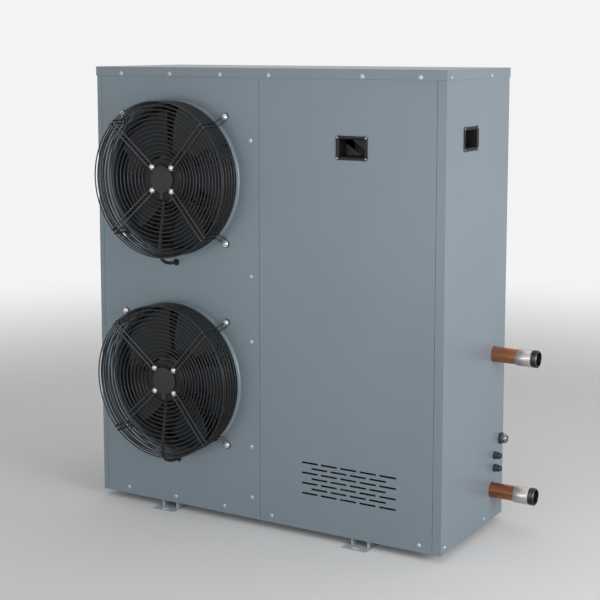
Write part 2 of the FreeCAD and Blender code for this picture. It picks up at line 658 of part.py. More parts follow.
def makeImpeller(label, height):
    """A hub ring pressed on the can, and blades swept forward and trimmed to the duct."""
    body = makeBody(label)
    ring = makeSketch(body, "XZ_Plane", label + "Ring")
    inner, end = "(canRadius+runningFit)", "(rotorSetback-hubReach+canLength)"
    addOutline(ring, [(inner, f"{end}-hubRingLength"), (f"{inner}+hubRingWall", f"{end}-hubRingLength"),
                      (f"{inner}+hubRingWall", f"{end}+hubDisc"), ("hubDiscBore", f"{end}+hubDisc"),
                      ("hubDiscBore", end), (inner, end)])
    spin(body, ring, label + "RingTurned")
    sections = []
    for name, radius, chord, rise, sweep in (
            ("Root", "canRadius+rootSeat", "rootChord", "rootRise", "0"),
            ("Mid", "midRadius", "midChord", "midRise", "midSweep"),
            ("Tip", "bladeTip+bladeTrim", "tipChord", "tipRise", "tipSweep")):
        section = makeSketch(body, "YZ_Plane", label + name, radius)
        low, high = f"({sweep}-{chord}/2)", f"({sweep}+{chord}/2)"
        addOutline(section, [(low, "bladeFront"), (high, f"bladeFront+{rise}"),
                             (high, f"bladeFront+{rise}+bladeThickness"),
                             (low, "bladeFront+bladeThickness")])
        sections.append(section)
    blade = body.newObject("PartDesign::AdditiveLoft", label + "Blade")
    blade.Profile = sections[0]
    blade.Sections = sections[1:]
    blade.Ruled = True
    blades = body.newObject("PartDesign::PolarPattern", label + "Blades")
    blades.Originals = [blade]
    blades.Axis = (originPart(body, "Z_Axis"), [""])
    blades.Angle = 360
    bind(blades, Occurrences="bladeCount")
    body.Tip = blades
    tips = makeSketch(body, "XZ_Plane", label + "Tips")
    addRectangle(tips, "bladeTip", "-rotorSetback", "bladeTip+tipChord", "ductLength+rotorSetback")
    spin(body, tips, label + "TipsTurned", "Groove")
    return atFan(body, height)


def guardLevel(radius):
    """The middle of the spokes' wires over the dished face."""
    hubLine = -size.hubReach - size.hubPlateSheet - size.wireSize / 2
    faceLine = -size.guardReach - size.wireSize / 2
    share = (radius - size.hubPlateRadius) / (size.guardRadius - size.hubPlateRadius)
    return hubLine + (faceLine - hubLine) * share


def makeGuardShape():
    """Wire guard: a dished face of rings on four pairs of spokes, whose legs reach back to the panel.
    Rings are many-sided so that they stay light."""
    wire, plate = size.wireSize, size.hubPlateSheet
    plateFront = -size.hubReach - plate
    hubLine, faceLine = guardLevel(size.hubPlateRadius), guardLevel(size.guardRadius)
    start = size.hubScrewPlace * math.sqrt(2) + size.hubScrewHead + size.spokeGap
    edge = size.guardRadius + wire / 2
    outward = FreeCAD.Vector(0, 0, 1)

    def ring(radius, level):
        sides = 8 * max(3, round(radius / 54))
        discs = []
        for r in (radius + wire / 2, radius - wire / 2):
            corners = [FreeCAD.Vector(r * math.cos(2 * math.pi * step / sides),
                                      r * math.sin(2 * math.pi * step / sides), level)
                       for step in range(sides)]
            discs.append(Part.Face(Part.makePolygon(corners + corners[:1])).extrude(outward * wire))
        return discs[0].cut(discs[1])

    plateShape = Part.makeCylinder(size.hubPlateRadius, plate, FreeCAD.Vector(0, 0, plateFront))
    plateShape = plateShape.cut(Part.makeCylinder(size.hubPlateBore, plate, FreeCAD.Vector(0, 0, plateFront)))
    pieces = []
    count = int(size.ringCount)
    for step in range(count - 1):
        radius = size.firstRing + (size.guardRadius - size.firstRing) * step / (count - 1)
        pieces.append(ring(radius, guardLevel(radius) + wire / 4))
    sideTop = faceLine + wire / 2
    sideEnd = -size.collarDepth - 2 * wire
    for step in range(int(size.sideRingCount) + 1):
        level = sideTop + (sideEnd - sideTop) * step / size.sideRingCount
        pieces.append(ring(size.guardRadius - wire / 4, level))
    half = wire / 2
    foot, end = size.boltCircle - size.boltHead, size.boltCircle + size.boltHead + size.footMargin
    line = [(start, hubLine), (size.hubPlateRadius, hubLine), (edge, faceLine), (edge, sideEnd),
            (foot, -half), (end, -half)]
    spoke = spokeOutline(line, half)
    for shift in (-size.wireSpacing / 2, size.wireSpacing / 2):
        face = Part.Face(Part.makePolygon([FreeCAD.Vector(r, shift - half, w) for r, w in spoke]))
        pieces += turnedCopies(face.extrude(FreeCAD.Vector(0, wire, 0)))
    span = size.wireSpacing - wire
    bridge = Part.makeBox(wire, span, wire, FreeCAD.Vector(end - wire, -span / 2, -wire))
    pieces += turnedCopies(bridge)
    return plateShape.multiFuse(pieces).removeSplitter()


def spokeOutline(line, half):
    """Both sides of a bent wire, mitred at its bends, as one closed outline."""
    def offset(side):
        result = []
        for step, (r, w) in enumerate(line):
            before, after = line[max(step - 1, 0)], line[min(step + 1, len(line) - 1)]
            normals = []
            for a, b in ((before, (r, w)), ((r, w), after)):
                length = math.hypot(b[0] - a[0], b[1] - a[1])
                if length:
                    normals.append(((a[1] - b[1]) / length, (b[0] - a[0]) / length))
            n = [sum(part) / len(normals) for part in zip(*normals)]
            stretch = half * side / (n[0] ** 2 + n[1] ** 2)
            result.append((r + n[0] * stretch, w + n[1] * stretch))
        return result
    outline = offset(1) + offset(-1)[::-1]
    return outline + outline[:1]


def turnedCopies(shape):
    """The four copies of a piece on the guard's diagonals."""
    copies = []
    for quarter in range(4):
        turnedCopy = shape.copy()
        turnedCopy.rotate(FreeCAD.Vector(0, 0, 0), FreeCAD.Vector(0, 0, 1), 45 + 90 * quarter)
        copies.append(turnedCopy)
    return copies


def fanPlacement(height):
    rotation = FreeCAD.Rotation(FreeCAD.Vector(1, 0, 0), -90)
    return FreeCAD.Placement(FreeCAD.Vector(size.fanPlace, -size.casingDepth / 2, height), rotation)


def bentPipe(points, radius, bend=None):
    """A round bar of straight runs joined by tangent arcs, as large as the runs allow or as bend."""
    points = [FreeCAD.Vector(*point) for point in points]
    here, direction = points[0], (points[1] - points[0]).normalize()
    section = Part.Face(Part.Wire(Part.makeCircle(radius, here, direction)))
    pieces = []
    for before, corner, after in zip(points, points[1:], points[2:]):
        into, out = (corner - before).normalize(), (after - corner).normalize()
        turn = into.getAngle(out)
        trim = 0.45 * min((corner - before).Length, (after - corner).Length)
        if bend:
            trim = min(trim, bend * math.tan(turn / 2))
        start = corner - into * trim
        pieces.append(section.extrude(start - here))
        section.translate(start - here)
        axis = into.cross(out).normalize()
        centre = start + axis.cross(into) * (trim / math.tan(turn / 2))
        pieces.append(section.revolve(centre, axis, math.degrees(turn)))
        section.rotate(centre, axis, math.degrees(turn))
        here = corner + out * trim
    pieces.append(section.extrude(points[-1] - here))
    return pieces[0].multiFuse(pieces[1:]) if len(pieces) > 1 else pieces[0]


def cableRoute():
    """From the rim of the motor flange down behind the guard's face, out under its edge to the panel.
    Across, down and back from the fan's centre."""
    drop, side, radius = size.cableDrop, size.cableShift, size.cableRadius
    level = radius + size.cableGap - size.hubReach
    behind = 1.25 * size.wireSize + radius + size.cableGap
    outside = size.guardRadius + size.wireSize + radius + size.cableGap
    route = [(0, size.flangeRadius, level), (0, 1.4 * size.flangeRadius, level)]
    for share, sway in ((0.43, 0.2), (0.71, -0.3), (0.93, 0)):
        down = size.hubPlateRadius + share * (size.guardRadius - size.hubPlateRadius)
        route.append((sway * side, down, guardLevel(down) + behind))
    return route + [(0.4 * side, outside, -0.78 * size.guardReach),
                    (0.8 * side, drop - side / 2, -size.guardReach / 2),
                    (side, drop, -1.5 * size.collarDepth), (side, drop, size.cableEnd)]


guardShape = makeGuardShape()
bearings, screws, bolts, grommets, caps, connectors = [], [], [], [], [], []
for side, height in fanHeights.items():
    keep(makeDuct(f"{side}_air_duct", height), makeStator(f"{side}_motor_stator", height),
         makeRotor(f"{side}_motor_rotor", height), makeImpeller(f"{side}_impeller", height))
    placement = fanPlacement(float(sheet.get(height)))
    keep(makeFeature(f"{side}_fan_guard", guardShape, placement))

    core = "(rotorSetback-hubReach+canWall)"
    for name, level in (("Front", f"{core}+stepDepth"), ("Rear", f"{core}+coreLength-bearingWidth")):
        race = makeRod(f"{side}{name}Race", 0, 0, 0, "bearingRadius-runningFit", "bearingWidth")
        hole = makeRod(f"{side}{name}Bore", 0, 0, 0, "shaftRadius+runningFit", "bearingWidth")
        ring = makeCut(f"{side}{name}Bearing", race, hole)
        bearings.append(locate(ring, "fanPlace", f"{front}+{level}", height, "Y"))
    disc = makeRod(f"{side}CapDisc", "fanPlace", f"{front}-hubReach-capThickness", height, "capRadius",
                   "capThickness", "Y")
    tab = makeBox(f"{side}CapTab", "fanPlace-capTabWidth/2", f"{front}-hubReach-capThickness",
                  f"{height}-capTabReach", "fanPlace+capTabWidth/2", f"{front}-hubReach-hubPlateSheet",
                  f"{height}-capRadius/2")
    caps.append(makeFuse(f"{side}Cap", [disc, tab]))
    for across in (-1, 1):
        for up in (-1, 1):
            tag = f"{side}{across + 1}{up + 1}"
            screws.append(makePrism(f"Hub{tag}", f"fanPlace+({across}*hubScrewPlace)",
                                    f"{front}-hubReach-hubPlateSheet-hubScrewHeight",
                                    f"{height}+({up}*hubScrewPlace)", "hubScrewHead", "hubScrewHeight", "Y"))
            x = f"fanPlace+({across}*boltCircle*{math.sqrt(0.5)})"
            z = f"{height}+({up}*boltCircle*{math.sqrt(0.5)})"
            head = makePrism(f"Bolt{tag}", x, f"{front}-wireSize-boltHeadHeight", z, "boltHead",
                             "boltHeadHeight", "Y")
            shank = makeRod(f"Shank{tag}", x, f"{front}-wireSize", z, "boltRadius", "wireSize", "Y")
            bolts.append(makeFuse(f"GuardBolt{tag}", [head, shank]))
    x, z = "fanPlace+cableShift", f"{height}-cableDrop"
    flangeDisc = makeRod(f"{side}GrommetFlange", x, f"{front}-grommetFlange", z, "grommetHole+grommetRim",
                         "grommetFlange", "Y")
    sleeve = makeRod(f"{side}GrommetSleeve", x, front, z, "grommetHole", "sheetMetal+grommetFlange", "Y")
    bore = makeRod(f"{side}GrommetBore", x, f"{front}-grommetFlange", z,
                   "cableRadius+runningFit", "sheetMetal+2*grommetFlange", "Y")
    grommets.append(makeCut(f"{side}Grommet", makeFuse(f"{side}GrommetBody", [flangeDisc, sleeve]), bore))
    connectors.append(makeBox(f"{side}Connector", f"{x}-connectorWidth/2", f"{front}+cableEnd",
                              f"{z}-connectorHeight/2", f"{x}+connectorWidth/2",
                              f"{front}+cableEnd+connectorDepth", f"{z}+connectorHeight/2"))
keep(makeGroup("fan_bearings", bearings), makeGroup("motor_caps", caps), makeGroup("hub_screws", screws),
     makeGroup("guard_bolts", bolts), makeGroup("cable_grommets", grommets),
     makeGroup("cable_connectors", connectors))

# Motor cables, clipped along the guards

for side, height in fanHeights.items():
    cable = bentPipe(cableRoute(), size.cableRadius)
    keep(makeFeature(f"{side}_motor_cable", cable, fanPlacement(float(sheet.get(height)))))


# Recessed handles: a flange on the panel and a cup behind it

def makeHandle(label, role, offset, place, height):
    body = makeBody(label)

    def frame(name, level, inset):
        sketch = makeSketch(body, role, label + name, level)
        w, h = f"(handleWidth/2-{inset})", f"(handleHeight/2-{inset})"
        addRectangle(sketch, f"{place}-{w}", f"{height}-{h}", f"{place}+{w}", f"{height}+{h}")
        return sketch

    pad(body, frame("Flange", offset, "0"), "handleFlange", label + "FlangePad")
    pad(body, frame("Cup", offset, "handleRim"), "handleDepth", label + "CupPad", True)
    cup = body.newObject("PartDesign::Pocket", label + "Hollow")
    cup.Profile = frame("Inside", f"{offset}+handleFlange", "(handleRim+handleWall)")
    bind(cup, Length="handleFlange+handleDepth-handleWall")
    return body


frontHandle = makeHandle("front_handle", "XZ_Plane", back, "frontHandlePlace", frontHandleHeight)
sideHandle = makeHandle("side_handle", "YZ_Plane", right, "sideHandlePlace", sideHandleHeight)
handleScrews = []
for across in (-1, 1):
    for up in (-1, 1):
        a = f"({across}*(handleWidth/2-handleScrewInset))"
        b = f"({up}*(handleHeight/2-handleScrewInset))"
        handleScrews.append(makePrism(f"FrontHandleScrew{across + 1}{up + 1}", f"frontHandlePlace+{a}",
                                      f"{front}-handleFlange-handleScrewHeight",
                                      f"{frontHandleHeight}+{b}", "handleScrewHead",
                                      "handleScrewHeight", "Y"))
        handleScrews.append(makePrism(f"SideHandleScrew{across + 1}{up + 1}", f"{right}+handleFlange",
                                      f"sideHandlePlace+{a}", f"{sideHandleHeight}+{b}",
                                      "handleScrewHead", "handleScrewHeight", "X"))
keep(frontHandle, sideHandle, makeGroup("handle_screws", handleScrews))


# Screws round the sheets, as places along the front or the side and heights above the floor

lipLine = f"({top}-lipScrewDrop)"
frontLipPlaces = [f"{left}+lipScrewInset+{step}*screwPitch" for step in range(3)]
frontLipPlaces += ["seamPlace+lipScrewSeamInset", "frontHandlePlace+lipScrewShift",
                   f"{right}-lipScrewEndInset"]
frontFootPlaces = [f"{left}+footScrewInset+{step}*screwPitch" for step in range(3)]
frontFootPlaces += ["seamPlace+footScrewSeamInset", f"{right}-footScrewEndInset"]
seamHeights = ("seamScrewFoot", "lowerFanHeight-seamScrewBelow", "lowerFanHeight+seamScrewAbove",
               "seamScrewMiddle", f"{top}-seamScrewDrop")
sidePlaces = (f"{front}+sideScrewFront", f"{back}-sideScrewBack")
panelScrews = []
for number, place in enumerate(frontLipPlaces):
    panelScrews.append(makePrism(f"LipScrew{number}", place, f"{front}-coverOverhang-screwHeight", lipLine,
                                 "screwHead", "screwHeight", "Y"))
for number, place in enumerate(frontFootPlaces):
    panelScrews.append(makePrism(f"FootScrew{number}", place, f"{front}-screwHeight",
                                 "panelFoot+footScrewRise",
                                 "screwHead", "screwHeight", "Y"))
for number, place in enumerate(seamHeights):
    panelScrews.append(makePrism(f"SeamScrew{number}", "seamPlace-seamScrewInset",
                                 f"{front}-screwHeight", place, "screwHead", "screwHeight", "Y"))
for number, place in enumerate(sidePlaces):
    panelScrews.append(makePrism(f"SideLipScrew{number}", f"{right}+coverOverhang", place, lipLine,
                                 "screwHead", "screwHeight", "X"))
    panelScrews.append(makePrism(f"SideFootScrew{number}", right, place,
                                 "panelFoot+sideScrewRise", "screwHead", "screwHeight", "X"))
keep(makeGroup("panel_screws", panelScrews))


# Water side: plate heat exchanger with two copper tails and threaded ends

def makeExchanger():
    body = makeBody("plate_heat_exchanger")
    sketch = makeSketch(body, "XY_Plane", "ExchangerPlates", panTop)
    addRectangle(sketch, "exchangerPlace", "pipePlace-exchangerWidth/2",
                 "exchangerPlace+exchangerThickness", "pipePlace+exchangerWidth/2")
    plates = pad(body, sketch, "exchangerHeight", "ExchangerPad")
    doc.recompute()
    corners = [f"Edge{number}" for number, edge in enumerate(plates.Shape.Edges, 1)
               if edge.BoundBox.XLength > 1]
    corners = [name for name in corners
               if plates.Shape.getElement(name).BoundBox.YLength < 1e-6]
    rounded = body.newObject("PartDesign::Chamfer", "ExchangerCorners")
    rounded.Base = (plates, corners)
    bind(rounded, Size="exchangerCorner")
    return body


def makeTail(label, height):
    start = "(exchangerPlace+exchangerThickness)"
    length = f"({right}+pipeReach+socketDepth-{start})"
    outside = makeRod(label + "Outside", start, "pipePlace", height, "pipeRadius", length, "X")
    inside = makeRod(label + "Inside", start, "pipePlace", height, "pipeRadius-pipeWall", length, "X")
    return makeCut(label, outside, inside)


def makeThread(label, height):
    """A nipple that the tail is brazed into, threaded at its outer end."""
    nipple = turned(label, [
        ("pipeRadius", "0"), ("threadRadius", "0"), ("threadRadius", "nippleLength-threadChamfer"),
        ("threadRadius-threadChamfer", "nippleLength"), ("threadBore", "nippleLength"),
        ("threadBore", "socketDepth"), ("pipeRadius", "socketDepth")])
    return locate(nipple, f"{right}+pipeReach", "pipePlace", height, "X")


keep(makeExchanger(), makeTail("water_pipe_upper", "upperPipeHeight"),
     makeTail("water_pipe_lower", "lowerPipeHeight"),
     makeGroup("threaded_ends", [makeThread("UpperThread", "upperPipeHeight"),
                                 makeThread("LowerThread", "lowerPipeHeight")]))


# Cable glands through the side panel: a shank, a nut and a nose with one bore

def makeGland(label, place, height, kind):
    nut = makePrism(label + "Nut", right, place, height, f"{kind}Radius", "glandNut", "X")
    nose = makeRod(label + "Nose", f"{right}+glandNut", place, height, f"{kind}Nose",
                   "glandReach-glandNut", "X")
    inside = f"({right}-glandShank)"
    shank = makeRod(label + "Shank", inside, place, height, f"{kind}Bore+glandWall", "glandShank", "X")
    hole = makeRod(label + "Hole", inside, place, height, f"{kind}Bore", "glandShank+glandReach", "X")
    return makeCut(label, makeFuse(label + "Solid", [shank, nut, nose]), hole)


keep(makeGland("large_cable_gland", "largeGlandPlace", "largeGlandHeight", "largeGland"),
     makeGroup("small_cable_glands", [makeGland(f"SmallGland{step}", "smallGlandPlace", height, "smallGland")
                                      for step, height in enumerate(smallGlandHeights)]))


# Compressor on rubber mounts, with its accumulator

def makeCompressor():
    body = makeBody("compressor")
    foot = f"({panTop}+mountHeight)"
    shell = makeSketch(body, "XZ_Plane", "CompressorProfile")
    low, high = f"{foot}+footSheet", f"{foot}+compressorHeight"
    addOutline(shell, [("0", low), ("domeTop", low), ("compressorRadius", f"{low}+domeHeight"),
                       ("compressorRadius", f"{high}-domeHeight"), ("domeTop", high), ("0", high)])
    spin(body, shell, "CompressorTurned")
    plate = makeSketch(body, "XY_Plane", "CompressorFeet", foot)
    addRectangle(plate, "-footPlate/2", "-footPlate/2", "footPlate/2", "footPlate/2")
    pad(body, plate, "footSheet", "CompressorFootPad")
    port = makeSketch(body, "YZ_Plane", "CompressorPort")
    addCircle(port, "0", f"{panTop}+suctionPort", "suctionPortRadius")
    pad(body, port, "compressorRadius+suctionPortReach", "CompressorPortPad")
    return locate(body, "compressorPlace", "compressorDepth")


def makeMounts():
    mounts = [makeRod(f"Mount{across + 1}{along + 1}", f"compressorPlace+({across}*mountSpread)",
                      f"compressorDepth+({along}*mountSpread)", panTop, "mountRadius", "mountHeight")
              for across in (-1, 1) for along in (-1, 1)]
    return makeGroup("compressor_mounts", mounts)


def makeAccumulator():
    body = turned("suction_accumulator", [
        ("0", panTop), ("accumulatorRadius", panTop),
        ("accumulatorRadius", f"{panTop}+accumulatorHeight-accumulatorDome"),
        ("accumulatorTop", f"{panTop}+accumulatorHeight"), ("0", f"{panTop}+accumulatorHeight")])
    return locate(body, "accumulatorPlace", "accumulatorDepth")


keep(makeCompressor(), makeMounts(), makeAccumulator())


# Four-way valve over the compressor, expansion valve, and the refrigerant pipes

def makeReversingValve():
    body = makeRod("ValveBody", "compressorPlace-valveLength/2", "compressorDepth", "valveHeight",
                   "valveRadius", "valveLength", "X")
    stubs = [makeRod(f"ValveStub{step + 1}", f"compressorPlace+({step}*stubPitch)", "compressorDepth",
                     "valveHeight", "gasPipeRadius+stubWall", "valveRadius+stubReach") for step in (-1, 0, 1)]
    inlet = makeRod("ValveInlet", "compressorPlace", "compressorDepth",
                    "valveHeight-valveRadius-stubReach", "gasPipeRadius+stubWall", "valveRadius+stubReach")
    return makeFuse("four_way_valve", [body, inlet] + stubs)


def makeExpansionValve():
    y = f"({back}-coilGap-coilThickness/2-expansionInset)"
    return makeRod("expansion_valve", "expansionPlace", y, "expansionHeight", "expansionRadius",
                   "expansionLength")


def refrigerantPipe(label, points, radius):
    return makeFeature(label, bentPipe(points, radius, size.pipeBend * radius))


def makePipes():
    panLevel = size.railHeight + size.sheetMetal
    gas, liquid = size.gasPipeRadius, size.liquidPipeRadius
    valveX, valveY = size.compressorPlace, size.compressorDepth
    valveFoot = size.valveHeight - size.valveRadius - size.stubReach
    valveHead = size.valveHeight + size.valveRadius + size.stubReach
    compressorHead = panLevel + size.mountHeight + size.compressorHeight
    accumulatorHead = panLevel + size.accumulatorHeight
    inletX = size.accumulatorPlace + size.accumulatorPort
    outletX = size.accumulatorPlace - size.accumulatorPort
    accumulatorY = size.accumulatorDepth
    suctionLevel = valveHead + size.suctionRise
    portLevel = panLevel + size.suctionPort
    portX = valveX + size.compressorRadius + size.suctionPortReach
    headerX = size.partitionPlace + size.coilEnd + size.headerReach
    headerY = size.casingDepth / 2 - size.coilGap - size.coilThickness / 2
    outletEnd = headerX + size.headerOutlet
    coilLevel = valveHead + size.coilPipeRise
    exchangerX, exchangerY = size.exchangerPlace, size.pipePlace
    gasTurn, gasLevel = exchangerX - size.gasPortReach, valveHead + size.exchangerPipeRise
    liquidLevel, expansionX = size.liquidPortHeight, size.expansionPlace
    expansionY = headerY - size.expansionInset
    expansionHead = size.expansionHeight + size.expansionLength
    coilLiquidLevel = expansionHead + size.coilLiquidRise
    coilLiquidY = headerY - size.headerRadius - size.pipeGap - liquid
    coilX = size.partitionPlace + size.coilEnd
    return [
        refrigerantPipe("discharge_pipe", [(valveX, valveY, compressorHead), (valveX, valveY, valveFoot)],
                        gas),
        refrigerantPipe("suction_pipe", [(valveX, valveY, valveHead), (valveX, valveY, suctionLevel),
                                         (inletX, accumulatorY, suctionLevel),
                                         (inletX, accumulatorY, accumulatorHead)], gas),
        refrigerantPipe("accumulator_pipe", [(outletX, accumulatorY, accumulatorHead),
                                             (outletX, accumulatorY, portLevel),
                                             (outletX, valveY, portLevel), (portX, valveY, portLevel)],
                        gas),
        refrigerantPipe("coil_gas_pipe", [(valveX - size.stubPitch, valveY, valveHead),
                                          (valveX - size.stubPitch, valveY, coilLevel),
                                          (outletEnd + size.gasPortReach, headerY, coilLevel),
                                          (outletEnd, headerY, coilLevel)], gas),
        refrigerantPipe("exchanger_gas_pipe", [(valveX + size.stubPitch, valveY, valveHead),
                                               (valveX + size.stubPitch, valveY, gasLevel),
                                               (gasTurn, exchangerY, gasLevel),
                                               (gasTurn, exchangerY, size.gasPortHeight),
                                               (exchangerX, exchangerY, size.gasPortHeight)], gas),
        refrigerantPipe("liquid_pipe", [(exchangerX, exchangerY, liquidLevel),
                                        (exchangerX - size.liquidPortReach, exchangerY, liquidLevel),
                                        (expansionX, expansionY, liquidLevel),
                                        (expansionX, expansionY, size.expansionHeight)], liquid),
        refrigerantPipe("coil_liquid_pipe", [(expansionX, expansionY, expansionHead),
                                             (expansionX, expansionY, coilLiquidLevel),
                                             (coilX + size.coilLiquidReach, coilLiquidY, coilLiquidLevel),
                                             (coilX, coilLiquidY, coilLiquidLevel)], liquid)]


keep(makeReversingValve(), makeExpansionValve(), *makePipes())


# Electrical box on the partition

def makeElectricalBox():
    x0, x1 = "(partitionPlace+sheetMetal)", "(partitionPlace+sheetMetal+boxWidth)"
    y0 = f"({front}+boxSetback)"
    y1 = f"({y0}+boxDepth)"
    shell = makeBox("BoxShell", x0, y0, boxFoot, x1, y1, f"{boxFoot}+boxHeight")
    hollow = makeBox("BoxHollow", f"{x0}+sheetMetal", y0, f"{boxFoot}+sheetMetal", f"{x1}-sheetMetal",
                     f"{y1}-sheetMetal", f"{boxFoot}+boxHeight-sheetMetal")
    board = makeBox("control_board", f"{x0}+boardMargin", f"{y1}-sheetMetal-boardThickness",
                    f"{boxFoot}+terminalHeight+boardMargin", f"{x1}-boardMargin", f"{y1}-sheetMetal",
                    f"{boxFoot}+boxHeight-boardMargin")
    terminals = makeBox("terminal_block", f"{x0}+boardMargin", f"{y1}-sheetMetal-terminalDepth",
                        f"{boxFoot}+sheetMetal", f"{x1}-boardMargin", f"{y1}-sheetMetal",
                        f"{boxFoot}+sheetMetal+terminalHeight")
    return makeCut("electrical_box", shell, hollow), board, terminals


keep(*makeElectricalBox())


# Check and write

doc.recompute()
faults = [item.Name for item in doc.Objects if "Invalid" in item.State or "Error" in item.State]
faults += [piece.Label for piece in nodes if piece.Shape.isNull() or not piece.Shape.isValid()]
if faults:
    raise RuntimeError("failed: " + ", ".join(faults))
os.makedirs("parts", exist_ok=True)
for piece in nodes:
    piece.Shape.exportStep(f"parts/{piece.Label}.step")
    print(piece.Label, len(piece.Shape.Solids), round(piece.Shape.Volume))
print(len(nodes), "nodes")
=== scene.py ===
import math

import bmesh
import bpy
from mathutils import Matrix, Vector


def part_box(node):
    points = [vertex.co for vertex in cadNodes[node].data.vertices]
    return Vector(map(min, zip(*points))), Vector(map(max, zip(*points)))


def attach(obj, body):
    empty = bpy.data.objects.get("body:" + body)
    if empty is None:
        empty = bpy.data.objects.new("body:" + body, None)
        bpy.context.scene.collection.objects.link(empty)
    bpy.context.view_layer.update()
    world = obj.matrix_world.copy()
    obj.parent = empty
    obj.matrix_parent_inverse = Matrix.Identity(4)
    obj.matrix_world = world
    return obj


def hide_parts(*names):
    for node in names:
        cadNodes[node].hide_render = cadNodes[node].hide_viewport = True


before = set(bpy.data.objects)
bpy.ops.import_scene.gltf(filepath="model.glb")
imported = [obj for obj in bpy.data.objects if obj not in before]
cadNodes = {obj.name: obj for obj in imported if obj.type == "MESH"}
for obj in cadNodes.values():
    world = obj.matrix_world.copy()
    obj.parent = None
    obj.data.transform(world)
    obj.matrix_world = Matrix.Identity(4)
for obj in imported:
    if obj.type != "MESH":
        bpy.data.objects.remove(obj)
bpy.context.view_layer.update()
fanNames = ("upper", "lower")


# the camera was found from the casing's edges and screw rows in the photograph
cameraSetup = {"place": (1.9843, -3.3392, 1.3330), "turn": 30.63, "drop": 7.25, "lens": 82.92,
               "sensor": 36, "rise": -0.1333, "reach": 60}


def addCamera(setup):
    camera = bpy.data.cameras.new("camera")
    camera.lens = setup["lens"]
    camera.sensor_width = setup["sensor"]
    camera.shift_y = setup["rise"]
    camera.clip_end = setup["reach"]
    holder = bpy.data.objects.new("camera", camera)
    holder.location = setup["place"]
    holder.rotation_euler = (math.radians(90 - setup["drop"]), 0, math.radians(setup["turn"]))
    bpy.context.scene.collection.objects.link(holder)
    bpy.context.scene.camera = holder


addCamera(cameraSetup)
print("camera placed")


class Signal:  # a shader socket that takes part in maths
    def __init__(self, paint, socket):
        self.paint = paint
        self.socket = socket

    def maths(self, operation, first, second):
        return self.paint.add("ShaderNodeMath", {"operation": operation}, {0: first, 1: second})

    def __add__(self, other):
        return self.maths("ADD", self, other)

    def __mul__(self, other):
        return self.maths("MULTIPLY", self, other)

    __radd__ = __add__
    __rmul__ = __mul__


mixSockets = {"share": 0, "first": 6, "second": 7, "result": 2}  # of a Mix node set to colours


class Paint:  # a material, and the few kinds of node that the finishes are made of
    def __init__(self, name):
        self.material = bpy.data.materials.new(name)
        self.material.use_nodes = True
        self.tree = self.material.node_tree
        self.shader = self.tree.nodes["Principled BSDF"]

    def add(self, kind, settings, inputs, output=0):
        node = self.tree.nodes.new(kind)
        for name, value in settings.items():
            setattr(node, name, value)
        for name, value in inputs.items():
            self.feed(node.inputs[name], value)
        return Signal(self, node.outputs[output])

    def feed(self, socket, value):
        if isinstance(value, Signal):
            self.tree.links.new(value.socket, socket)
        else:
            socket.default_value = value

    def place(self, stretch=(1, 1, 1)):
        where = self.add("ShaderNodeTexCoord", {}, {}, "Object")
        return self.add("ShaderNodeMapping", {}, {"Vector": where, "Scale": stretch})

    def noise(self, scale, detail, stretch=(1, 1, 1)):
        return self.add("ShaderNodeTexNoise", {},
                        {"Vector": self.place(stretch), "Scale": scale, "Detail": detail})

    def cells(self, scale, stretch):
        colour = self.add("ShaderNodeTexVoronoi", {},
                          {"Vector": self.place(stretch), "Scale": scale}, "Color")
        return self.add("ShaderNodeSeparateColor", {}, {"Color": colour})

    def between(self, signal, low, high):
        return self.add("ShaderNodeMapRange", {},
                        {"Value": signal, "From Min": low, "From Max": high})

    def blend(self, share, first, second):
        return self.add("ShaderNodeMix", {"data_type": "RGBA"},
                        {mixSockets["share"]: share, mixSockets["first"]: (*first, 1),
                         mixSockets["second"]: (*second, 1)}, mixSockets["result"])

    def bump(self, height, distance, under=None):
        inputs = {"Height": height, "Distance": distance, "Strength": 1.0}
        if under:
            inputs["Normal"] = under
        return self.add("ShaderNodeBump", {}, inputs)

    def finish(self, sockets):
        for name, value in sockets.items():
            self.feed(self.shader.inputs[name], value)
        return self.material


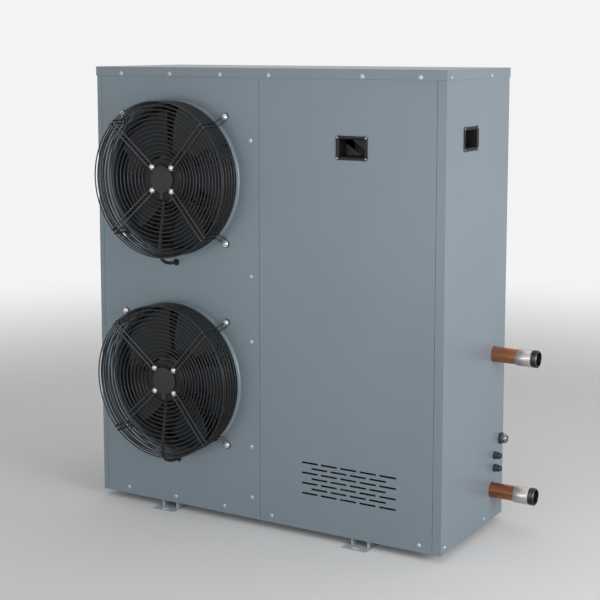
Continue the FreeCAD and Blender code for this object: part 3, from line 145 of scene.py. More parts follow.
# The finishes, named for the material slots, and a few looks of the scene's own. colour and
# shade are the two tones, blotch, grain and spangle say how many of their patches, bumps and
# crystals fit in a metre, depth is the height of the bumps and rough the range of roughness
finishes = {
    "sheet_paint": {"colour": (0.186, 0.235, 0.275), "shade": (0.176, 0.224, 0.263),
                    "blotch": 3.5, "rough": (0.34, 0.42), "grain": 900, "depth": 0.00003,
                    "coat": 0.15},
    "galvanised": {"colour": (0.44, 0.46, 0.47), "shade": (0.34, 0.36, 0.37), "blotch": 40,
                   "rough": (0.30, 0.48), "grain": 320, "depth": 0.00002, "metal": 0.55,
                   "spangle": 90},
    # a lighter copy of galvanised for the foot rails: painted light, so that their tabs look lit
    "rail_zinc_painted_light": {"colour": (0.52, 0.56, 0.59), "shade": (0.44, 0.48, 0.51), "blotch": 40,
                  "rough": (0.36, 0.50), "grain": 320, "depth": 0.00002, "metal": 0.15},
    "zinc": {"colour": (0.74, 0.75, 0.76), "shade": (0.60, 0.61, 0.63), "blotch": 120,
             "rough": (0.16, 0.26), "grain": 1500, "depth": 0.00001, "metal": 1.0},
    "panel_zinc": {"colour": (0.50, 0.55, 0.60), "shade": (0.42, 0.47, 0.52), "blotch": 120,
                   "rough": (0.26, 0.36), "grain": 1500, "depth": 0.00001, "metal": 0.6},
    "dull_zinc": {"colour": (0.44, 0.47, 0.50), "shade": (0.34, 0.37, 0.40), "blotch": 120,
                  "rough": (0.26, 0.36), "grain": 1500, "depth": 0.00001, "metal": 0.8},
    "black_wire": {"colour": (0.009, 0.011, 0.013), "shade": (0.014, 0.016, 0.019), "blotch": 60,
                   "rough": (0.28, 0.38), "grain": 1100, "depth": 0.00003, "specular": 0.40},
    "spoke_black": {"colour": (0.012, 0.014, 0.017), "shade": (0.017, 0.020, 0.024), "blotch": 60,
                    "rough": (0.15, 0.22), "grain": 1100, "depth": 0.00003, "specular": 0.75},
    "plate_black": {"colour": (0.009, 0.010, 0.012), "shade": (0.014, 0.015, 0.017), "blotch": 60,
                    "rough": (0.46, 0.60), "grain": 1100, "depth": 0.00003, "specular": 0.18},
    "fan_black": {"colour": (0.019, 0.023, 0.027), "shade": (0.026, 0.031, 0.036), "blotch": 14,
                  "rough": (0.42, 0.60), "grain": 1300, "depth": 0.00004, "specular": 0.30},
    "motor_black": {"colour": (0.016, 0.017, 0.019), "shade": (0.024, 0.025, 0.027), "blotch": 25,
                    "rough": (0.38, 0.52), "grain": 700, "depth": 0.00005, "specular": 0.30},
    "cap_grey": {"colour": (0.030, 0.031, 0.032), "shade": (0.037, 0.038, 0.039), "blotch": 30,
                 "rough": (0.50, 0.64), "grain": 900, "depth": 0.00004, "specular": 0.22},
    "motor_core": {"colour": (0.20, 0.20, 0.21), "shade": (0.13, 0.13, 0.14), "blotch": 30,
                   "rough": (0.40, 0.60), "grain": 500, "depth": 0.00003, "metal": 0.8,
                   "lines": ((0, 1600, 0), 0.00015)},
    "duct_metal": {"colour": (0.034, 0.040, 0.046), "shade": (0.026, 0.031, 0.036), "blotch": 6,
                   "rough": (0.40, 0.52), "grain": 700, "depth": 0.00003, "specular": 0.35},
    "bearing_steel": {"colour": (0.62, 0.62, 0.63), "shade": (0.50, 0.50, 0.52), "blotch": 90,
                      "rough": (0.14, 0.22), "grain": 1500, "depth": 0.00001, "metal": 1.0},
    "fin_aluminium": {"colour": (0.66, 0.69, 0.71), "shade": (0.52, 0.55, 0.57), "blotch": 16,
                      "rough": (0.34, 0.48), "grain": 500, "depth": 0.00003, "metal": 0.55},
    "copper": {"colour": (0.60, 0.25, 0.125), "shade": (0.36, 0.135, 0.072), "blotch": 22,
               "rough": (0.26, 0.44), "grain": 420, "depth": 0.00003, "metal": 1.0,
               "stretch": (0.25, 1, 1)},
    "valve_brass": {"colour": (0.60, 0.43, 0.17), "shade": (0.42, 0.29, 0.12), "blotch": 50,
                    "rough": (0.22, 0.36), "grain": 600, "depth": 0.00002, "metal": 1.0},
    "nickel": {"colour": (0.54, 0.51, 0.49), "shade": (0.46, 0.43, 0.41), "blotch": 14,
               "rough": (0.32, 0.42), "grain": 1500, "depth": 0.00001, "metal": 1.0},
    # the glands' nickel is darkened far below bright metal: a painted dark reflection of dark
    # surroundings
    "gland_nickel_painted_dark": {"colour": (0.30, 0.30, 0.31), "shade": (0.24, 0.24, 0.25), "blotch": 14,
                     "rough": (0.26, 0.34), "grain": 1500, "depth": 0.00001, "metal": 1.0},
    # the threads are near black though metal: a painted dark reflection, not the metal's own tone
    "thread_nickel_painted_dark": {"colour": (0.085, 0.080, 0.076), "shade": (0.050, 0.047, 0.044), "blotch": 60,
                      "rough": (0.30, 0.42), "grain": 1200, "depth": 0.00001, "metal": 0.9},
    "handle_plastic": {"colour": (0.0065, 0.0070, 0.0080), "shade": (0.0090, 0.0095, 0.0110),
                       "blotch": 25, "rough": (0.42, 0.56), "grain": 1600, "depth": 0.00002,
                       "specular": 0.30},
    "gland_plastic": {"colour": (0.022, 0.026, 0.031), "shade": (0.034, 0.039, 0.045), "blotch": 50,
                      "rough": (0.30, 0.42), "grain": 1200, "depth": 0.00003},
    "cable_black": {"colour": (0.010, 0.010, 0.011), "shade": (0.016, 0.016, 0.017), "blotch": 50,
                    "rough": (0.44, 0.60), "grain": 900, "depth": 0.00005, "specular": 0.35},
    "rubber": {"colour": (0.014, 0.014, 0.014), "shade": (0.024, 0.023, 0.022), "blotch": 35,
               "rough": (0.60, 0.80), "grain": 800, "depth": 0.00007, "specular": 0.35},
    "compressor_paint": {"colour": (0.014, 0.014, 0.015), "shade": (0.022, 0.022, 0.024),
                         "blotch": 9, "rough": (0.22, 0.38), "grain": 420, "depth": 0.00008},
    "exchanger_steel": {"colour": (0.50, 0.50, 0.49), "shade": (0.38, 0.37, 0.35), "blotch": 18,
                        "rough": (0.24, 0.42), "grain": 500, "depth": 0.00003, "metal": 1.0,
                        "lines": ((430, 0, 0), 0.0012)},
    "board_green": {"colour": (0.012, 0.085, 0.030), "shade": (0.008, 0.060, 0.022), "blotch": 60,
                    "rough": (0.30, 0.42), "grain": 900, "depth": 0.00003},
    "terminal_grey": {"colour": (0.26, 0.27, 0.26), "shade": (0.22, 0.23, 0.22), "blotch": 30,
                      "rough": (0.44, 0.56), "grain": 1200, "depth": 0.00003},
    "connector_white": {"colour": (0.66, 0.64, 0.58), "shade": (0.58, 0.56, 0.50), "blotch": 30,
                        "rough": (0.40, 0.52), "grain": 1200, "depth": 0.00003},
}


# what every finish shares: where its patches begin and end in the noise, the part of them that
# is zinc crystals, how fine the wear is and how far it moves the roughness
spread = {"from": 0.35, "to": 0.68, "crystals": 0.55, "wear": 2.3, "gain": 1.6, "offset": 0.3,
          "patchDetail": 3, "wearDetail": 4, "grainDetail": 2, "coatRough": 0.35}


def makeFinish(name, look):
    paint = Paint(name)
    stretch = look.get("stretch", (1, 1, 1))
    patches = paint.between(paint.noise(look["blotch"], spread["patchDetail"], stretch),
                            spread["from"], spread["to"])
    if "spangle" in look:
        crystals = paint.cells(look["spangle"], stretch)
        patches = patches * (1 - spread["crystals"]) + crystals * spread["crystals"]
    low, high = look["rough"]
    wear = paint.noise(look["blotch"] * spread["wear"], spread["wearDetail"], stretch)
    relief = paint.bump(paint.noise(look["grain"], spread["grainDetail"]), look["depth"])
    if "lines" in look:
        spacing, depth = look["lines"]
        across = paint.add("ShaderNodeSeparateXYZ", {}, {"Vector": paint.place(spacing)},
                           "X" if spacing[0] else "Y")
        ridges = paint.add("ShaderNodeMath", {"operation": "SINE"}, {0: across})
        relief = paint.bump(ridges, depth, relief)
    return paint.finish({
        "Base Color": paint.blend(patches, look["colour"], look["shade"]),
        "Roughness": wear * (high - low) * spread["gain"] + (low - (high - low) * spread["offset"]),
        "Metallic": look.get("metal", 0.0),
        "Specular IOR Level": look.get("specular", 0.5),
        "Coat Weight": look.get("coat", 0.0),
        "Coat Roughness": spread["coatRough"],
        "Normal": relief})


materials = {name: makeFinish(name, look) for name, look in finishes.items()}
print("finishes made:", len(materials))


def asMesh(work, name):
    mesh = bpy.data.meshes.new(name)
    work.to_mesh(mesh)
    work.free()
    return mesh


def addPiece(name, mesh, body, slot, smoothBelow=35, look=None):
    if isinstance(mesh, bmesh.types.BMesh):
        mesh = asMesh(mesh, name)
    mesh.shade_smooth()
    mesh.set_sharp_from_angle(angle=math.radians(smoothBelow))
    mesh.materials.clear()
    mesh.materials.append(materials[look or slot])
    piece = bpy.data.objects.new(name, mesh)
    bpy.context.scene.collection.objects.link(piece)
    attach(piece, body)
    return piece


# how near points are to be joined, how flat faces are to be made one, and how nearly along an
# axis a face looks that counts as a sheet's flat
meshLimits = {"node": 0.00001, "shape": 0.00002, "flat": math.radians(0.6), "straight": 0.9999}
# the turn between two faces, in degrees, up to which they are shaded as one
smoothAngles = {"wire": 50, "rim": 60, "blade": 45, "turned": 40, "moulding": 30}


def mergedCopy(node, dissolve=True):  # a CAD node as a closed mesh, its flat faces made one
    work = bmesh.new()
    work.from_mesh(cadNodes[node].data)
    bmesh.ops.remove_doubles(work, verts=work.verts, dist=meshLimits["node"])
    if dissolve:
        bmesh.ops.dissolve_limit(work, angle_limit=meshLimits["flat"], verts=work.verts,
                                 edges=work.edges)
    return work


def islands(work):  # (lowest corner, highest corner) of each separate solid
    found, seen = [], set()
    for start in work.verts:
        if start in seen:
            continue
        group, todo = [], [start]
        seen.add(start)
        while todo:
            vert = todo.pop()
            group.append(vert.co.copy())
            for edge in vert.link_edges:
                other = edge.other_vert(vert)
                if other not in seen:
                    seen.add(other)
                    todo.append(other)
        found.append((Vector(map(min, zip(*group))), Vector(map(max, zip(*group)))))
    return found


def nodeIslands(node):
    work = mergedCopy(node)
    boxes = islands(work)
    work.free()
    return boxes


def roundEdges(piece, width, segments=2, angle=35):
    edges = piece.modifiers.new("rounded edges", "BEVEL")
    edges.width = width
    edges.segments = segments
    edges.limit_method = "ANGLE"
    edges.angle_limit = math.radians(angle)
    edges.harden_normals = True


def softened(node, slot, width, body="casing", look=None):  # a width of 0 is for pressed sheets
    piece = addPiece(node + "_dressed", mergedCopy(node, width > 0), body, slot, look=look)
    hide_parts(node)
    if width:
        roundEdges(piece, width)
        return
    for face in piece.data.polygons:  # a sheet's flats stay flat up to the edge of each hole
        face.use_smooth = max(abs(part) for part in face.normal) < meshLimits["straight"]


def standing(x, y, z, toward):  # turns a piece made about Z so that its top faces toward
    return Matrix.Translation((x, y, z)) @ Vector((0, 0, 1)).rotation_difference(
        Vector(toward)).to_matrix().to_4x4()


def spinProfile(work, corners, steps, closed=False):  # corners are (radius, height) about Z
    verts = [work.verts.new((radius, 0, height)) for radius, height in corners]
    edges = [work.edges.new(pair) for pair in zip(verts, verts[1:])]
    if closed:
        edges.append(work.edges.new((verts[-1], verts[0])))
    bmesh.ops.spin(work, geom=verts + edges, cent=(0, 0, 0), axis=(0, 0, 1),
                   angle=2 * math.pi, steps=steps, use_merge=True)


def tidyShape(work, matrix=None):
    bmesh.ops.remove_doubles(work, verts=work.verts, dist=meshLimits["shape"])
    bmesh.ops.recalc_face_normals(work, faces=work.faces)
    if matrix:
        work.transform(matrix)
    return work


def turnedMesh(corners, steps, closed=False):
    work = bmesh.new()
    spinProfile(work, corners, steps, closed)
    return tidyShape(work)


def wireMesh(points, radius, sides, finesse):
    curve = bpy.data.curves.new("wire", "CURVE")
    curve.dimensions = "3D"
    spline = curve.splines.new("NURBS")
    spline.points.add(len(points) - 1)
    for knot, point in zip(spline.points, points):
        knot.co = (*point, 1)
    spline.order_u = 3
    spline.use_endpoint_u = True
    spline.resolution_u = finesse
    curve.bevel_depth = radius
    curve.bevel_resolution = sides
    curve.use_fill_caps = True
    holder = bpy.data.objects.new("wire", curve)
    mesh = bpy.data.meshes.new_from_object(holder)
    bpy.data.objects.remove(holder)
    bpy.data.curves.remove(curve)
    return mesh


def joinMesh(work, mesh, matrix=Matrix.Identity(4)):
    mesh.transform(matrix)
    work.from_mesh(mesh)
    bpy.data.meshes.remove(mesh)


def joinPart(work, part, matrix):  # a shape made about Z, put in its place
    joinMesh(work, asMesh(tidyShape(part, matrix), "part"))


def only(kind, items):  # the verts or the faces among what an operator made
    return [item for item in items if isinstance(item, kind)]


def eased(points, bend, most=0.45):  # two more control points by each corner keep its bend short
    points = [Vector(point) for point in points]
    path = [points[0]]
    for before, corner, after in zip(points, points[1:], points[2:]):
        back, on = before - corner, after - corner
        path += [corner + back.normalized() * min(bend, back.length * most), corner,
                 corner + on.normalized() * min(bend, on.length * most)]
    return path + [points[-1]]


# each fan is drawn about Z, which points to the back, with 0 on the panel's face
collar = {"inner": 0.215, "depth": 0.010, "bead": 0.0011, "beadOut": 0.00075, "beadIn": 0.0009}
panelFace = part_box("fan_panel")[0].y + collar["depth"]
fanMatrix = {}
for name in fanNames:
    low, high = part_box(f"{name}_air_duct")
    middle = (low + high) / 2
    fanMatrix[name] = (Matrix.Translation((middle.x, panelFace, middle.z))
                       @ Matrix.Rotation(-math.pi / 2, 4, "X"))


# CAD pieces that only need their edges rounded, and by how much
softenedPieces = {
    "sheet_paint": (("top_cover", 0.0014), ("fan_panel", 0), ("service_panel", 0),
                    ("side_panel", 0), ("rear_panel", 0.0006), ("corner_panel_front", 0.0006),
                    ("corner_panel_rear", 0.0006)),
    "galvanised": (("base_pan", 0.0005), ("post_front_right", 0.0005), ("post_rear_right", 0.0005),
                   ("partition", 0.0005), ("electrical_box", 0.0005)),
    "duct_metal": (("upper_air_duct", 0.0005), ("lower_air_duct", 0.0005)),
    "compressor_paint": (("compressor", 0.0015), ("suction_accumulator", 0.0015)),
    "exchanger_steel": (("plate_heat_exchanger", 0.0015),),
    "rubber": (("compressor_mounts", 0.0015), ("cable_grommets", 0.0008)),
    "copper": (("coil_header", 0.0005), ("discharge_pipe", 0.0003), ("suction_pipe", 0.0003),
               ("accumulator_pipe", 0.0003), ("coil_gas_pipe", 0.0003),
               ("exchanger_gas_pipe", 0.0003), ("liquid_pipe", 0.0003),
               ("coil_liquid_pipe", 0.0003), ("water_pipe_upper", 0.0003),
               ("water_pipe_lower", 0.0003)),
    "valve_brass": (("four_way_valve", 0.0008), ("expansion_valve", 0.0010)),
    "connector_white": (("cable_connectors", 0.0012),),
    "board_green": (("control_board", 0.0004),),
    "terminal_grey": (("terminal_block", 0.0012),),
    "motor_core": (("upper_motor_stator", 0.0006), ("lower_motor_stator", 0.0006)),
    "bearing_steel": (("fan_bearings", 0.0006),),
}
for slot, pieces in softenedPieces.items():
    for node, width in pieces:
        softened(node, slot, width)
for name in fanNames:
    softened(f"{name}_motor_rotor", "motor_black", 0.0012, f"{name}_fan")
for side in ("left", "right"):
    # the rails take the lighter copy of galvanised, which is painted light
    softened(f"foot_rail_{side}", "galvanised", 0.0008, look="rail_zinc_painted_light")
print("sheet metal and inner pieces dressed")


# wire guards: a dished face of rings, a basket of side rings and four double spokes, each round
# its bolt. Levels are from the panel's face, and wire is the half thickness that they are set by
guard = {"wire": 0.002, "ringWire": 0.0019, "spokeWire": 0.0022, "rings": 14, "firstRing": 0.066,
         "radius": 0.216, "hubLevel": -0.061, "faceLevel": -0.084, "sideRings": 5,
         "sideEnd": -0.018, "plate": 0.060, "plateFront": 0.0022, "plateBack": 0.005,
         "bore": 0.0385, "weld": 0.0003, "steps": 96, "sides": 8}
spoke = {"start": 0.050, "gap": 0.007, "legLevel": -0.014, "legEnd": 0.237, "footLevel": -0.002,
         "eye": 0.246, "tip": 0.2551, "bend": 0.006, "firstTurn": 45, "sides": 2, "finesse": 4}


def addRing(work, radius, level, wire):
    matrix = Matrix.Translation((radius, 0, level)) @ Matrix.Rotation(math.pi / 2, 4, "X")
    made = bmesh.ops.create_circle(work, segments=guard["sides"], radius=wire, matrix=matrix)
    edges = list({edge for vert in made["verts"] for edge in vert.link_edges})
    bmesh.ops.spin(work, geom=made["verts"] + edges, cent=(0, 0, 0), axis=(0, 0, 1),
                   angle=2 * math.pi, steps=guard["steps"], use_merge=True)


def faceLevel(radius):
    share = (radius - guard["plate"]) / (guard["radius"] - guard["plate"])
    return guard["hubLevel"] + (guard["faceLevel"] - guard["hubLevel"]) * share


def spokeRoute():  # one bent wire: out along the face, back to the panel, round the bolt and home
    edge, hub, foot, gap = (guard["radius"] + guard["wire"], guard["hubLevel"],
                            spoke["footLevel"], spoke["gap"])
    side = [(spoke["start"], hub), (guard["plate"], hub), (edge, guard["faceLevel"]),
            (edge, spoke["legLevel"]), (spoke["legEnd"], foot), (spoke["eye"], foot)]
    out = [(radius, gap, level) for radius, level in side]
    home = [(radius, -gap, level) for radius, level in reversed(side)]
    turn = [(spoke["tip"], gap, foot), (spoke["tip"], -gap, foot)]
    return eased(out, spoke["bend"]) + turn + eased(home, spoke["bend"])


def makeGuard(name):
    work = bmesh.new()
    wire = guard["wire"]
    pitch = (guard["radius"] - guard["firstRing"]) / (guard["rings"] - 1)
    for number in range(guard["rings"]):
        radius = guard["firstRing"] + pitch * number
        addRing(work, radius, faceLevel(radius) + 2 * wire - guard["weld"], guard["ringWire"])
    rise = (guard["sideEnd"] - guard["faceLevel"]) / guard["sideRings"]
    for number in range(1, guard["sideRings"] + 1):
        level = guard["faceLevel"] + rise * number
        addRing(work, guard["radius"] - wire + guard["weld"], level, guard["ringWire"])
    tidyShape(work, fanMatrix[name])
    piece = addPiece(f"{name}_guard_wires", work, "casing", "black_wire", smoothAngles["wire"])
    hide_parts(f"{name}_fan_guard")


def makeSpokes(name):
    work = bmesh.new()
    for quarter in range(4):
        turn = Matrix.Rotation(math.radians(spoke["firstTurn"] + 90 * quarter), 4, "Z")
        wire = wireMesh(spokeRoute(), guard["spokeWire"], spoke["sides"], spoke["finesse"])
        joinMesh(work, wire, turn)
    tidyShape(work, fanMatrix[name])
    piece = addPiece(f"{name}_guard_spokes", work, "casing", "black_wire",
                     smoothAngles["wire"], "spoke_black")
    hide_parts(f"{name}_fan_guard")


def makeGuardPlate(name):  # the pressed ring that the spokes are welded to
    plate, bore, level = guard["plate"], guard["bore"], guard["hubLevel"]
    front, back = level + guard["plateFront"], level + guard["plateBack"]
    work = turnedMesh([(bore, back), (bore, level + 0.003), (bore + 0.0008, front),
                       (plate - 0.004, front), (plate - 0.001, level + 0.003),
                       (plate, level + 0.0045), (plate - 0.0015, back)], guard["steps"],
                      closed=True)
    work.transform(fanMatrix[name])
    piece = addPiece(f"{name}_guard_plate", work, "casing", "black_wire",
                     smoothAngles["wire"], "plate_black")
    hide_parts(f"{name}_fan_guard")


def makeCollarBead(name):  # the rolled rim of the opening
    work = bmesh.new()
    addRing(work, collar["inner"] + collar["beadOut"], collar["beadIn"] - collar["depth"],
            collar["bead"])
    tidyShape(work, fanMatrix[name])
    addPiece(f"{name}_collar_rim", work, "casing", "sheet_paint", smoothAngles["rim"])


for name in fanNames:
    makeGuard(name)
    makeSpokes(name)
    makeGuardPlate(name)
    makeCollarBead(name)
print("wire guards made")


# impellers: broad blades swept forward on a hub ring. The chord, rise and sweep are given at the
# root, halfway and at the tip
impeller = {"blades": 5, "root": 0.0695, "tip": 0.203, "chord": (0.056, 0.112, 0.168),
            "rise": (0.026, 0.044, 0.054), "sweep": (0.0, 0.010, 0.034), "front": 0.0055,
            "camber": 0.007, "thickness": 0.003, "roundTip": 0.012, "ringInner": 0.06905,
            "ringOuter": 0.07305, "ringEnd": 0.036, "discInner": 0.030, "disc": 0.0025,
            "edge": 0.001, "softEdge": 0.0008, "cellsOut": 14, "cellsAlong": 20, "steps": 72}


def through(values, share):  # a parabola through three values at 0, 0.5 and 1
    first, middle, last = values
    return (first * (1 - share) * (1 - 2 * share) + 4 * middle * share * (1 - share)
            + last * share * (2 * share - 1))


def makeImpeller(name):
    work = bmesh.new()
    for number in range(impeller["blades"]):
        made = bmesh.ops.create_grid(work, x_segments=impeller["cellsOut"],
                                     y_segments=impeller["cellsAlong"], size=0.5)
        turn = Matrix.Rotation(2 * math.pi * number / impeller["blades"], 4, "Z")
        for vert in made["verts"]:
            share, along = vert.co.x + 0.5, vert.co.y + 0.5
            reach = impeller["tip"] - impeller["roundTip"] * abs(2 * along - 1) ** 5
            radius = impeller["root"] + (reach - impeller["root"]) * share
            across = (through(impeller["sweep"], share)
                      + through(impeller["chord"], share) * (along - 0.5))
            back = (through(impeller["rise"], share) * along
                    + impeller["camber"] * math.sin(math.pi * along))
            angle = across / radius
            vert.co = turn @ Vector((radius * math.cos(angle), radius * math.sin(angle),
                                     impeller["front"] + back))
    bmesh.ops.recalc_face_normals(work, faces=work.faces)
    bmesh.ops.solidify(work, geom=work.faces[:], thickness=impeller["thickness"])
    inner, outer, end = impeller["ringInner"], impeller["ringOuter"], impeller["ringEnd"]
    disc, edge, back = impeller["discInner"], impeller["edge"], end + impeller["disc"]
    spinProfile(work, [(inner, 0), (outer - edge, 0), (outer, edge), (outer, back - edge),
                       (outer - edge, back), (disc + edge, back), (disc, back - edge),
                       (disc, end), (inner, end)], impeller["steps"], closed=True)
    tidyShape(work, fanMatrix[name])
    piece = addPiece(f"{name}_fan_blades", work, f"{name}_fan", "fan_black",
                     smoothAngles["blade"])
    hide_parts(f"{name}_impeller")
    roundEdges(piece, impeller["softEdge"], angle=50)


for name in fanNames:
    makeImpeller(name)
print("impellers made")


# screws: a pan head with a cross recess and, on most, a flange or washer under it
screwSizes = {"panel": {"radius": 0.0050, "height": 0.0030, "washer": 0.0062},
              "handle": {"radius": 0.0026, "height": 0.0015},
              "hub": {"radius": 0.0066, "height": 0.0048, "washer": 0.0080},
              "guard": {"radius": 0.0068, "height": 0.0048, "washer": 0.0090}}
# the recess in a head of that radius, which is smaller in a smaller head
recessSize = {"head": 0.0046, "slot": 0.0011, "reach": 0.0031, "depth": 0.0013}
# what all of them share; turnStep is how far each recess is turned from the one before
screwShape = {"steps": 32, "washer": 0.0012, "washerEdge": 0.0004, "lift": 0.004,
              "turnStep": 37, "hiddenTurnStep": 41}


def crossHead(radius, height, washer=0.0):  # a head about Z, with its seat at 0
    head = turnedMesh([(0, 0), (radius, 0), (radius, height * 0.4), (radius * 0.93, height * 0.7),
                       (radius * 0.72, height * 0.93), (radius * 0.4, height), (0, height)],
                      screwShape["steps"])
    share = radius / recessSize["head"]
    tool = bmesh.new()
    for turn in (0, math.pi / 2):
        matrix = (Matrix.Translation((0, 0, height)) @ Matrix.Rotation(turn, 4, "Z")
                  @ Matrix.Diagonal((2 * recessSize["reach"] * share, recessSize["slot"] * share,
                                     2 * recessSize["depth"] * share, 1)))
        bmesh.ops.create_cube(tool, size=1, matrix=matrix)
    headHolder = bpy.data.objects.new("head", asMesh(head, "head"))
    toolHolder = bpy.data.objects.new("cross", asMesh(tool, "cross"))
    for holder in (headHolder, toolHolder):
        bpy.context.scene.collection.objects.link(holder)
    recess = headHolder.modifiers.new("recess", "BOOLEAN")
    recess.object = toolHolder
    recess.solver = "EXACT"
    recess.use_self = True
    graph = bpy.context.evaluated_depsgraph_get()
    shaped = bpy.data.meshes.new_from_object(headHolder.evaluated_get(graph))
    for holder in (headHolder, toolHolder):
        bpy.data.objects.remove(holder)
    if washer:
        work = bmesh.new()
        work.from_mesh(shaped)
        top, edge = screwShape["washer"], screwShape["washerEdge"]
        spinProfile(work, [(0, 0), (washer, 0), (washer, top - edge), (washer - edge, top),
                           (0, top)], screwShape["steps"])
        tidyShape(work)
        work.to_mesh(shaped)
        work.free()
    return shaped


def faceOf(low, high):  # the way that a screw on the casing faces, and its seat
    size = high - low
    middle = (low + high) / 2
    if size.x < size.y and size.x < size.z:
        return Vector((1, 0, 0)), Vector((low.x, middle.y, middle.z))
    return Vector((0, -1, 0)), Vector((middle.x, high.y, middle.z))


def placeHeads(pieceName, look, kind, seats, turnStep):  # a head at each (seat, way it faces)
    head = crossHead(**screwSizes[kind])
    work = bmesh.new()
    for number, (seat, toward) in enumerate(seats):
        turn = Matrix.Rotation(math.radians(turnStep * number), 4, "Z")
        joinMesh(work, head.copy(), standing(*seat, toward) @ turn)
    bpy.data.meshes.remove(head)
    return addPiece(pieceName, work, "casing", "zinc", smoothAngles["turned"], look)


def makeScrews(node, pieceName, look, kind, lift=0.0):
    seats = []
    for low, high in nodeIslands(node):
        toward, seat = faceOf(low, high)
        seats.append((seat + toward * lift, toward))
    piece = placeHeads(pieceName, look, kind, seats, screwShape["turnStep"])
    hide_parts(node)


makeScrews("panel_screws", "panel_screw_heads", "panel_zinc", "panel")
makeScrews("handle_screws", "handle_screw_heads", "dull_zinc", "handle")
makeScrews("hub_screws", "hub_screw_heads", "zinc", "hub")


hiddenScrews = {"drop": 0.019, "inset": 0.012, "lip": (-0.44, -0.22, 0.0, 0.22, 0.44),
                "side": (-0.14, 0.14), "rear": (0.09, 0.39, 0.70, 1.01, 1.20)}


def makeHiddenScrews():  # the same screws on the sides that the photograph doesn't show
    coverLow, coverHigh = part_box("top_cover")
    rearLow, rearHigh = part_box("rear_panel")
    line = coverHigh.z - hiddenScrews["drop"]
    seats = [((x, coverHigh.y, line), (0, 1, 0)) for x in hiddenScrews["lip"]]
    seats += [((coverLow.x, y, line), (-1, 0, 0)) for y in hiddenScrews["side"]]
    for x in (rearLow.x + hiddenScrews["inset"], rearHigh.x - hiddenScrews["inset"]):
        seats += [((x, rearHigh.y, z), (0, 1, 0)) for z in hiddenScrews["rear"]]
    placeHeads("rear_and_left_screws", "panel_zinc", "panel", seats,
               screwShape["hiddenTurnStep"])


makeHiddenScrews()
makeScrews("guard_bolts", "guard_bolt_heads", "zinc", "guard", screwShape["lift"])
print("screws made")


# motor end caps, each with the outlet that its cable leaves by
cap = {"radius": 0.038, "front": -0.062, "seat": -0.0563, "tab": 0.012, "tabEnd": 0.054,
       "tabSeat": -0.0592, "tabSink": 0.0002, "groove": 0.031, "grooveHalf": 0.0006,
       "grooveDepth": 0.0005, "softEdge": 0.0006, "steps": 64}


def makeCaps():
    work = bmesh.new()
    radius, front, seat = cap["radius"], cap["front"], cap["seat"]
    groove, half, bottom = cap["groove"], cap["grooveHalf"], front + cap["grooveDepth"]
    length = cap["tabEnd"] - radius * 0.85
    for name in fanNames:
        part = bmesh.new()
        spinProfile(part, [(0, seat), (radius, seat), (radius, front + 0.0016),
                           (radius - 0.0008, front + 0.0005), (radius - 0.0022, front),
                           (groove + half, front), (groove, bottom), (groove - half, front),
                           (0, front)], cap["steps"])
        middle = (0, cap["tabEnd"] - length / 2, (front + cap["tabSeat"]) / 2 + cap["tabSink"])
        size = (cap["tab"], length, cap["tabSeat"] - front, 1)
        bmesh.ops.create_cube(part, size=1,
                              matrix=Matrix.Translation(middle) @ Matrix.Diagonal(size))
        joinPart(work, part, fanMatrix[name])
    piece = addPiece("motor_end_caps", work, "casing", "motor_black", smoothAngles["turned"],
                     "cap_grey")
    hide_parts("motor_caps")
    roundEdges(piece, cap["softEdge"])


makeCaps()


# motor cables: across, down and back from the fan's centre, as the route in the part
cable = {"radius": 0.0045, "sides": 3, "finesse": 10,
         "route": ((0, 0.058, -0.051), (0, 0.0812, -0.051), (0.001, 0.1271, -0.0609),
                   (-0.0015, 0.1708, -0.0673), (0, 0.2051, -0.0724), (0.002, 0.225, -0.064),
                   (0.004, 0.2365, -0.041), (0.005, 0.239, -0.015), (0.005, 0.239, 0.022))}
for name in fanNames:
    mesh = wireMesh(cable["route"], cable["radius"], cable["sides"], cable["finesse"])
    mesh.transform(fanMatrix[name])
    piece = addPiece(f"{name}_motor_lead", mesh, "casing", "cable_black")
    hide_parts(f"{name}_motor_cable")
print("motor caps and cables made")


# recessed handles: a rounded frame, a bead round the hollow and a deep cup. Each inset is how
# far in and how far up: the frame's face, the groove, the bead and the lip of the cup
handle = {"width": 0.093, "height": 0.063, "corner": 0.006, "proud": 0.002, "depth": 0.0296,
          "insets": ((0.0050, 0), (0.0007, -0.0006), (0.0014, 0.0006), (0.0014, -0.0016)),
          "wall": 0.0018, "draft": 0.90, "softEdge": 0.0007, "cornerSteps": 6}


